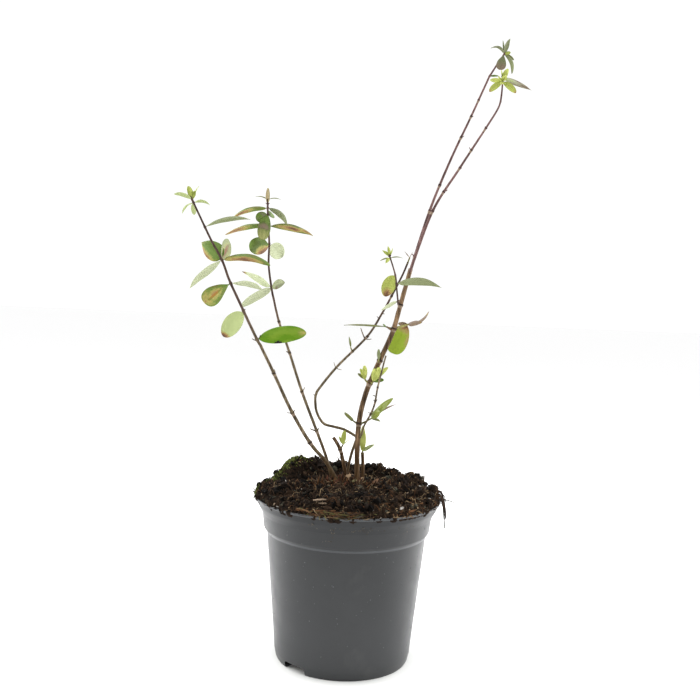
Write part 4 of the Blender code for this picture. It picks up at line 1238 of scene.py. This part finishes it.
def add_pegs(name, dice, line, along, nodes, radius_at, verts, faces):
    """A pair of short pegs at each node, and the longer ones that the photograph shows."""
    rows = []
    turn = dice.uniform(0, math.pi)
    for mark in nodes:
        spot, tangent = spot_at(line, along, mark)
        side = tangent.orthogonal().normalized()
        turn += math.pi / 2 + dice.uniform(-0.3, 0.3)
        for half in (0.0, math.pi):
            out = Matrix.Rotation(turn + half, 3, tangent) @ side
            heading = (out + tangent * dice.uniform(0.3, 1.1)).normalized()
            rows.append((spot, heading, radius_at(mark) + dice.uniform(0.4, 1.6), min(0.5, radius_at(mark) * 0.5)))
    for height, azimuth, rise, length, thick in PEGS.get(name, ()):
        spot, _ = spot_at(line, along, distance_at_height(line, along, height))
        rows.append((spot, direction(azimuth, rise), length, thick))
    made = 0
    for spot, heading, length, thick in rows:
        tip = spot + heading * length
        bend = UP * length * 0.06
        course = [spot, spot + heading * length * 0.35 - bend, spot + heading * length * 0.7 - bend, tip]
        made += tube_rings(course, (thick * 1.4, thick, thick * 0.9, thick * 0.6), 6, verts, faces)
    return made


def bark_tube(name, points, foot_radius, tip_radius, node_heights, stands, sides):
    """A tapering tube with ribs, knots and pegs at its nodes and a flare at its foot: its
    points, its faces, and which faces are a dark node ring (1) or a pale scar (2)."""
    line = smooth_course(points)
    along = distances_along(line)
    length = along[-1]
    rings = max(4, round(length / LIMB_RING_STEP))
    nodes = [distance_at_height(line, along, height) for height in node_heights]
    dice = random.Random(name)
    shift = dice.uniform(0, 50)
    course, radii, marks = [], [], []

    def radius_at(distance):
        return foot_radius + (tip_radius - foot_radius) * distance / length

    for ring in range(rings + 1):
        distance = length * ring / rings
        spot, _ = spot_at(line, along, distance)
        knot = max([math.exp(-((distance - mark) / NODE_HALF_LENGTH) ** 2) for mark in nodes] or [0.0])
        radius = radius_at(distance) * (1.0 + (NODE_SWELLING - 1.0) * knot)
        if stands:
            radius *= 1.0 + (FLARE - 1.0) * clamp(1.0 - (distance - SUNK) / FLARE_LENGTH)
        scar = any(SCAR_REACH[1] < mark - distance < SCAR_REACH[0] for mark in nodes)
        course.append(spot)
        radii.append(radius)
        marks.append(1 if knot > NODE_DARK else 2 * scar)

    def relief(index, turn):
        distance = length * index / rings
        ribs = 0.035 * math.cos(2 * turn + distance * 0.02)
        place = Vector((math.cos(turn) * 1.6, math.sin(turn) * 1.6, distance * 0.16 + shift))
        fine = Vector((math.cos(turn) * 4.0, math.sin(turn) * 4.0, distance * 0.7 + shift))
        return radii[index] * (ribs + 0.07 * noise.noise(place) + 0.04 * noise.noise(fine))

    verts, faces = [], []
    count = tube_rings(course, radii, sides, verts, faces, relief)
    kinds = [marks[index // sides] for index in range(count - 2)]
    pegs = add_pegs(name, dice, line, along, nodes, radius_at, verts, faces)
    return verts, faces, kinds + [0, 0] + [0] * pegs


def sunk_points(name, points, stands):
    """A limb's line with its foot carried on into the soil, or into the limb it grows from."""
    first, second = Vector(points[0]), Vector(points[1])
    if stands:
        return (tuple(first - (second - first).normalized() * SUNK), *points)
    if name in JOINED:
        return (JOINED[name], *points)
    return points


def make_limb(name, barks):
    """A limb with its bark's relief, in place of its solid or solids."""
    points, foot_radius, tip_radius, nodes, stands = LIMBS[name]
    line = sunk_points(name, points, stands)
    verts, faces, kinds = bark_tube(name, line, foot_radius, tip_radius, nodes, stands, LIMB_SIDES)
    bark = LIMB_BARKS.get(name, "olive_bark")
    mesh = mesh_from(name + "_bark", verts, faces, kinds)
    looks = [barks[bark], barks["node_ring"], barks["scar"]]
    add_piece(name + "_bark", mesh, looks, LIMB_NODES.get(name, (name,)))


# Leaves

def leaf_width(share, width, shape):
    """The width of a leaf at a share of its length: a short stalk, then a blade."""
    rise, fall = SHAPES[shape]
    peak = rise / (rise + fall)
    widest = peak ** rise * (1.0 - peak) ** fall
    part = clamp((share - STALK_SHARE) / (1.0 - STALK_SHARE))
    blade = width * part ** rise * (1.0 - part) ** fall / widest
    return max(blade, STALK_WIDTH * (1.0 - share)) if share < 0.5 else blade


def patch_at(patch, share, across, seed):
    """How strong a patch is at a place on a leaf, with a ragged edge."""
    middle, offset, reach, spread, strength = patch[:5]
    value = strength * (SCORCH_EDGE - math.hypot((share - middle) / reach, (across - offset) / spread))
    if value > 0.0:
        value += SCORCH_RAGGED * value * noise.noise(Vector((share * 6.0, across * 2.4, seed)))
        value += 0.18 * noise.noise(Vector((share * 15.0, across * 5.0, seed)))
    return value


def blend_key(first, second, share):
    """The key of a blend of two leaf colours, in a few even steps."""
    step = round(clamp(share) * BLEND_STEPS)
    if first == second or step == 0:
        return (first, first, 0)
    return (second, second, 0) if step == BLEND_STEPS else (first, second, step)


def leaf_key(colours, patches, share, across, seed):
    """The colour of a face of a leaf, as a blend's key."""
    plain, blotch = colours
    tints = [(patch_at(patch, share, across, seed), patch[5]) for patch in patches if len(patch) > 5]
    value, tint = max(tints, default=(0.0, plain))
    if value > 0.12:
        return blend_key(plain, tint, value)
    value = max([patch_at(patch, share, across, seed) for patch in patches if len(patch) == 5], default=0.0)
    for (low, first), (high, second) in zip(SCORCH_RAMP, SCORCH_RAMP[1:]):
        if low < value <= high:
            return blend_key(first or plain, second, (value - low) / (high - low))
    if value > SCORCH_RAMP[-1][0]:
        return blend_key(SCORCH_RAMP[-1][1], SCORCH_RAMP[-1][1], 0.0)
    mottle = noise.noise(Vector((share * 3.4, across * 1.1, seed + 7)))
    rib = 0.5 if abs(across) < HALF_COLUMNS[0] and share < 0.8 else 0.0
    return blend_key(plain, blotch, 0.5 * round(2 * clamp(0.5 + 1.8 * mottle + rib)))


def leaf_sheet(root, leaf, seed, verts, faces, kinds):
    """One leaf: a thin blade of two sheets, folded at its midrib, bowed, with waved margins."""
    azimuth, rise, length, width, arch, roll, shape, look = leaf
    top_colour, blotch, backlit_under_colour, patches = LOOKS[look]
    chord = direction(azimuth, rise)
    level_side = chord.cross(UP).normalized()
    upward = level_side.cross(chord)
    turn = math.radians(roll)
    start = len(verts)
    columns = len(LEAF_COLUMNS)
    shares = [0.5 - 0.5 * math.cos(math.pi * row / LEAF_ROWS) for row in range(LEAF_ROWS + 1)]
    for above in (1.0, -1.0):
        for share in shares:
            bow = 4 * arch * length * share * (1.0 - share)
            tangent = (chord + upward * 4 * arch * (1.0 - 2 * share)).normalized()
            lifted = level_side.cross(tangent)
            side = level_side * math.cos(turn) + lifted * math.sin(turn)
            face = side.cross(tangent)
            spread = leaf_width(share, width, shape) / 2
            middle = root + chord * length * share + upward * bow
            for across in LEAF_COLUMNS:
                wave = LEAF_WAVE * width * noise.noise(Vector((share * 4.0, across * 1.5, seed)))
                fold = LEAF_FOLD * spread * (0.5 - abs(across))
                thin = 0.5 * LEAF_THICKNESS * (1.0 - 0.75 * abs(across))
                offset = fold + wave * abs(across) + above * thin
                verts.append(middle + side * spread * across + face * offset)
    sheet = (LEAF_ROWS + 1) * columns
    for row in range(LEAF_ROWS):
        share = (shares[row] + shares[row + 1]) / 2
        for column in range(columns - 1):
            across = (LEAF_COLUMNS[column] + LEAF_COLUMNS[column + 1]) / 2
            a = start + row * columns + column
            faces.append((a, a + 1, a + 1 + columns, a + columns))
            kinds.append(leaf_key((top_colour, blotch), patches, share, across, seed))
            b = a + sheet
            faces.append((b, b + columns, b + 1 + columns, b + 1))
            # The underside's colour is partly painted light that shines through the leaf
            kinds.append(leaf_key((backlit_under_colour, backlit_under_colour), patches, share, across, seed))
    rim = [start + column for column in range(columns)]
    rim += [start + row * columns + columns - 1 for row in range(1, LEAF_ROWS + 1)]
    rim += [start + LEAF_ROWS * columns + column for column in range(columns - 2, -1, -1)]
    rim += [start + row * columns for row in range(LEAF_ROWS - 1, 0, -1)]
    for first, second in zip(rim, rim[1:] + rim[:1]):
        faces.append((first, first + sheet, second + sheet, second))
        # The rim takes the underside's colour, with its painted light shining through the leaf
        kinds.append(blend_key(backlit_under_colour, backlit_under_colour, 0.0))


LEAF_LOOKS = {}


def leaf_look(key):
    """The material of a blend of two leaf colours, made when it is first asked for."""
    if key not in LEAF_LOOKS:
        first, second, step = key
        share = step / BLEND_STEPS
        colour = [a + (b - a) * share for a, b in zip(LEAF_COLOURS[first], LEAF_COLOURS[second])]
        name = f"leaf_{first}" if step == 0 else f"leaf_{first}_{second}_{step}"
        LEAF_LOOKS[key] = leaf_material(name, colour)
    return LEAF_LOOKS[key]


def make_mass(name, stem, leaves, bark):
    """A leafy mass: its twig and its leaves, each a piece of its own, in place of its solid."""
    points, foot_radius, tip_radius, nodes = stem
    first, second = Vector(points[0]), Vector(points[1])
    line = (tuple(first - (second - first).normalized() * 2.0), *points)
    verts, faces, _ = bark_tube(name, line, foot_radius, tip_radius, nodes, False, TWIG_SIDES)
    twig = add_piece(name + "_twig", mesh_from(name + "_twig", verts, faces), [bark])
    verts, faces, kinds = [], [], []
    dice = random.Random(name)
    for root, leaf in leaves:
        jitter = Vector([dice.uniform(-0.12, 0.12) for _ in range(3)])
        leaf_sheet(root + jitter, leaf, dice.uniform(0, 90), verts, faces, kinds)
    used = sorted(set(kinds))
    mesh = mesh_from(name + "_leaves", verts, faces, [used.index(kind) for kind in kinds])
    add_piece(name + "_leaves", mesh, [leaf_look(kind) for kind in used], (name,))
    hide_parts(name)


def crown_parts(name):
    """A crown's stem and its leaves, each with its root."""
    points, foot_radius, tip_radius, nodes, rows = CROWNS[name]
    line = smooth_course(points)
    along = distances_along(line)
    leaves = []
    for row in rows:
        root, _ = spot_at(line, along, distance_at_height(line, along, nodes[row[0]]))
        leaves.append((root, row[1:]))
    return (points, foot_radius, tip_radius, nodes), leaves


def sprout_parts(name):
    """A sprout's twig, which starts on its limb, and its leaves, each with its root."""
    limb_name, height, (azimuth, rise, length), radius, rows = SPROUTS[name]
    points, foot_radius, tip_radius, _, _ = LIMBS[limb_name]
    line = smooth_course(points)
    along = distances_along(line)
    heading = direction(azimuth, rise)
    if height is None:
        start, _ = spot_at(line, along, along[-1])
    else:
        distance = distance_at_height(line, along, height)
        middle, tangent = spot_at(line, along, distance)
        limb_radius = (foot_radius + (tip_radius - foot_radius) * distance / along[-1]) * NODE_SWELLING
        outward = (heading - tangent * heading.dot(tangent)).normalized()
        start = middle + outward * limb_radius * 0.7
    end = start + heading * (length + 1.0)
    leaves = [(end - heading * radius * 0.6, row) for row in rows]
    return ((start, end), radius, radius * 0.8, ()), leaves


def make_plant():
    """The limbs and the leafy masses."""
    barks = {
        "main_bark": bark_material("main_bark_look", (0.048, 0.028, 0.014), (0.145, 0.085, 0.042),
                                   (0.37, 0.24, 0.138), (0.37, 0.24, 0.138), 0.34),
        "olive_bark": bark_material("olive_bark_look", (0.076, 0.055, 0.032), (0.165, 0.127, 0.074),
                                    (0.31, 0.235, 0.150), (0.062, 0.026, 0.032), 0.62),
        "young_bark": bark_material("young_bark_look", (0.056, 0.028, 0.029), (0.115, 0.058, 0.057),
                                    (0.28, 0.170, 0.148), (0.28, 0.170, 0.148), 0.30),
        "shoot_bark": bark_material("shoot_look", (0.15, 0.13, 0.045), (0.25, 0.24, 0.08),
                                    (0.33, 0.30, 0.12), (0.33, 0.30, 0.12), 0.30),
        "node_ring": new_material("node_ring_look", (0.028, 0.017, 0.011), 0.8, 0.2)[0],
        "scar": new_material("scar_look", (0.185, 0.135, 0.095), 0.8, 0.2)[0],
    }
    for name in LIMBS:
        make_limb(name, barks)
    woody = {"outer_left_crown": "olive_bark", "inner_left_crown": "olive_bark", "back_tip_rosette": "young_bark",
             "front_tip_rosette": "young_bark", "centre_shoot": "olive_bark"}
    for name in [*CROWNS, *SPROUTS]:
        stem, leaves = crown_parts(name) if name in CROWNS else sprout_parts(name)
        make_mass(name, stem, leaves, barks[woody.get(name, "shoot_bark")])


def make_ground_cover():
    """Everything small that lies on the soil and clings to the pot."""
    black = plain_material("crumb_black", (0.0045, 0.0036, 0.0030))
    dark = plain_material("crumb_dark", (0.015, 0.0105, 0.0078))
    brown = plain_material("crumb_brown", (0.044, 0.027, 0.017))
    light = plain_material("crumb_light", (0.105, 0.072, 0.046))
    grey = plain_material("crumb_grey", (0.062, 0.060, 0.044))
    tan = plain_material("fibre_tan", (0.26, 0.185, 0.105))
    rust = plain_material("fibre_rust", (0.125, 0.060, 0.028))
    umber = plain_material("fibre_umber", (0.055, 0.034, 0.021))
    orange = plain_material("chip_orange", (0.15, 0.085, 0.045))
    straw = plain_material("straw_olive", (0.095, 0.085, 0.035))
    crumbs = [black, dark, brown, light, grey]
    scatter_lumps("soil_clods", CLOD_COUNT, LARGE_BALL, (2.0, 8.0), 0.25, crumbs, ((9, 6, 1, 0, 1), (4, 6, 4, 0, 1)))
    scatter_lumps("soil_crumbs", CRUMB_COUNT, SMALL_BALL, (0.5, 2.1), 0.1, crumbs,
                  ((8, 6, 2, 0.2, 1.2), (3, 5, 6, 2, 1.2)))
    make_fibres([tan, rust, umber, dark], ((0.3, 0.6, 5, 7), (2.4, 1.8, 5, 3)))
    make_hanging_strands([orange, umber, plain_material("strand_dark", (0.030, 0.022, 0.017)),
                          plain_material("strand_olive", (0.20, 0.17, 0.07))])
    make_chips([plain_material("chip_pale", (0.30, 0.22, 0.155)), orange, rust,
                plain_material("chip_white", (0.40, 0.38, 0.35)), tan, umber, grey, straw],
               ((0.2, 0.3, 1, 0.1, 0.3, 5, 2, 0), (0.4, 0.8, 2, 0.2, 2.2, 5, 2, 0)))
    make_foot_litter([rust, brown, plain_material("litter_red", (0.115, 0.046, 0.028)), umber, light,
                      plain_material("husk_tan", (0.30, 0.205, 0.125)),
                      plain_material("husk_brown", (0.20, 0.115, 0.070)),
                      plain_material("husk_olive", (0.20, 0.175, 0.090))])
    make_moss([plain_material("moss_dark", (0.065, 0.078, 0.020)),
               plain_material("moss_green", (0.165, 0.200, 0.045)),
               plain_material("moss_light", (0.28, 0.33, 0.095))])
    make_pot_flecks([plain_material("dried_splash", (0.060, 0.052, 0.042)),
                     plain_material("dried_dust", (0.11, 0.10, 0.085)),
                     plain_material("pale_speck", (0.105, 0.110, 0.112))])


# Light, floor and camera

def make_camera():
    """The camera at the photograph's place."""
    pitch, yaw, roll = (math.radians(angle) for angle in (CAMERA_PITCH, CAMERA_YAW, CAMERA_ROLL))
    ahead = Vector((math.sin(yaw) * math.cos(pitch), math.cos(yaw) * math.cos(pitch), -math.sin(pitch)))
    right = ahead.cross(UP).normalized()
    up = right.cross(ahead)
    camera_x = right * math.cos(roll) + up * math.sin(roll)
    camera_y = up * math.cos(roll) - right * math.sin(roll)
    data = bpy.data.cameras.new("camera")
    data.lens = CAMERA_LENS
    data.sensor_width = CAMERA_SENSOR
    data.clip_start = 0.01
    data.clip_end = 20.0
    camera = bpy.data.objects.new("camera", data)
    bpy.context.scene.collection.objects.link(camera)
    turn = Matrix((camera_x, camera_y, -ahead)).transposed().to_4x4()
    camera.matrix_world = Matrix.Translation(CAMERA_PLACE * MM) @ turn
    bpy.context.scene.camera = camera


def area_light(name, place, aim, size, power):
    """A soft lamp that faces a point."""
    data = bpy.data.lights.new(name, "AREA")
    data.shape = "RECTANGLE"
    data.size, data.size_y = size
    data.energy = power
    lamp = bpy.data.objects.new(name, data)
    bpy.context.scene.collection.objects.link(lamp)
    lamp.location = place
    lamp.rotation_mode = "QUATERNION"
    lamp.rotation_quaternion = (Vector(aim) - Vector(place)).to_track_quat("-Z", "Y")


def make_studio():
    """A white floor, a white surrounding, wide lamps at both sides and one above."""
    world = bpy.data.worlds.new("studio")
    world.use_nodes = True
    back = world.node_tree.nodes["Background"]
    back.inputs["Color"].default_value = (1.0, 1.0, 1.0, 1.0)
    back.inputs["Strength"].default_value = WORLD_STRENGTH
    bpy.context.scene.world = world
    bpy.context.scene.view_settings.view_transform = "Standard"
    mesh = bpy.data.meshes.new("floor")
    reach = 6.0
    corners = [(-reach, -reach, 0), (reach, -reach, 0), (reach, reach, 0), (-reach, reach, 0)]
    mesh.from_pydata(corners, [], [(0, 1, 2, 3)])
    floor = bpy.data.objects.new("floor", mesh)
    bpy.context.scene.collection.objects.link(floor)
    material, shader = new_material("floor_look", FLOOR_COLOUR, 0.9)
    tree = material.node_tree
    place = node(tree, "ShaderNodeTexCoord")
    reach_out = node(tree, "ShaderNodeVectorMath", operation="LENGTH")
    spread = node(tree, "ShaderNodeMapRange")
    spread.inputs["From Min"].default_value = SHADE_REACH[0] * MM
    spread.inputs["From Max"].default_value = SHADE_REACH[1] * MM
    tree.links.new(place.outputs["Object"], reach_out.inputs[0])
    tree.links.new(reach_out.outputs["Value"], spread.inputs["Value"])
    shaded = mix_of(tree, spread.outputs["Result"], SHADE_COLOUR, FLOOR_COLOUR)
    tree.links.new(shaded, shader.inputs["Base Color"])
    mesh.materials.append(material)
    aim = (0, 0, 0.2)
    area_light("left_lamp", (-0.93, 0.37, 0.45), aim, (1.5, 1.5), SIDE_LAMP_POWER)
    area_light("right_lamp", (0.93, 0.37, 0.45), aim, (1.5, 1.5), SIDE_LAMP_POWER)
    area_light("top_lamp", (-0.2, -0.5, 1.6), (0, 0, 0.25), (1.2, 1.2), TOP_LAMP_POWER)


make_camera()
make_studio()
make_pot()
make_soil()
make_ground_cover()
make_plant()
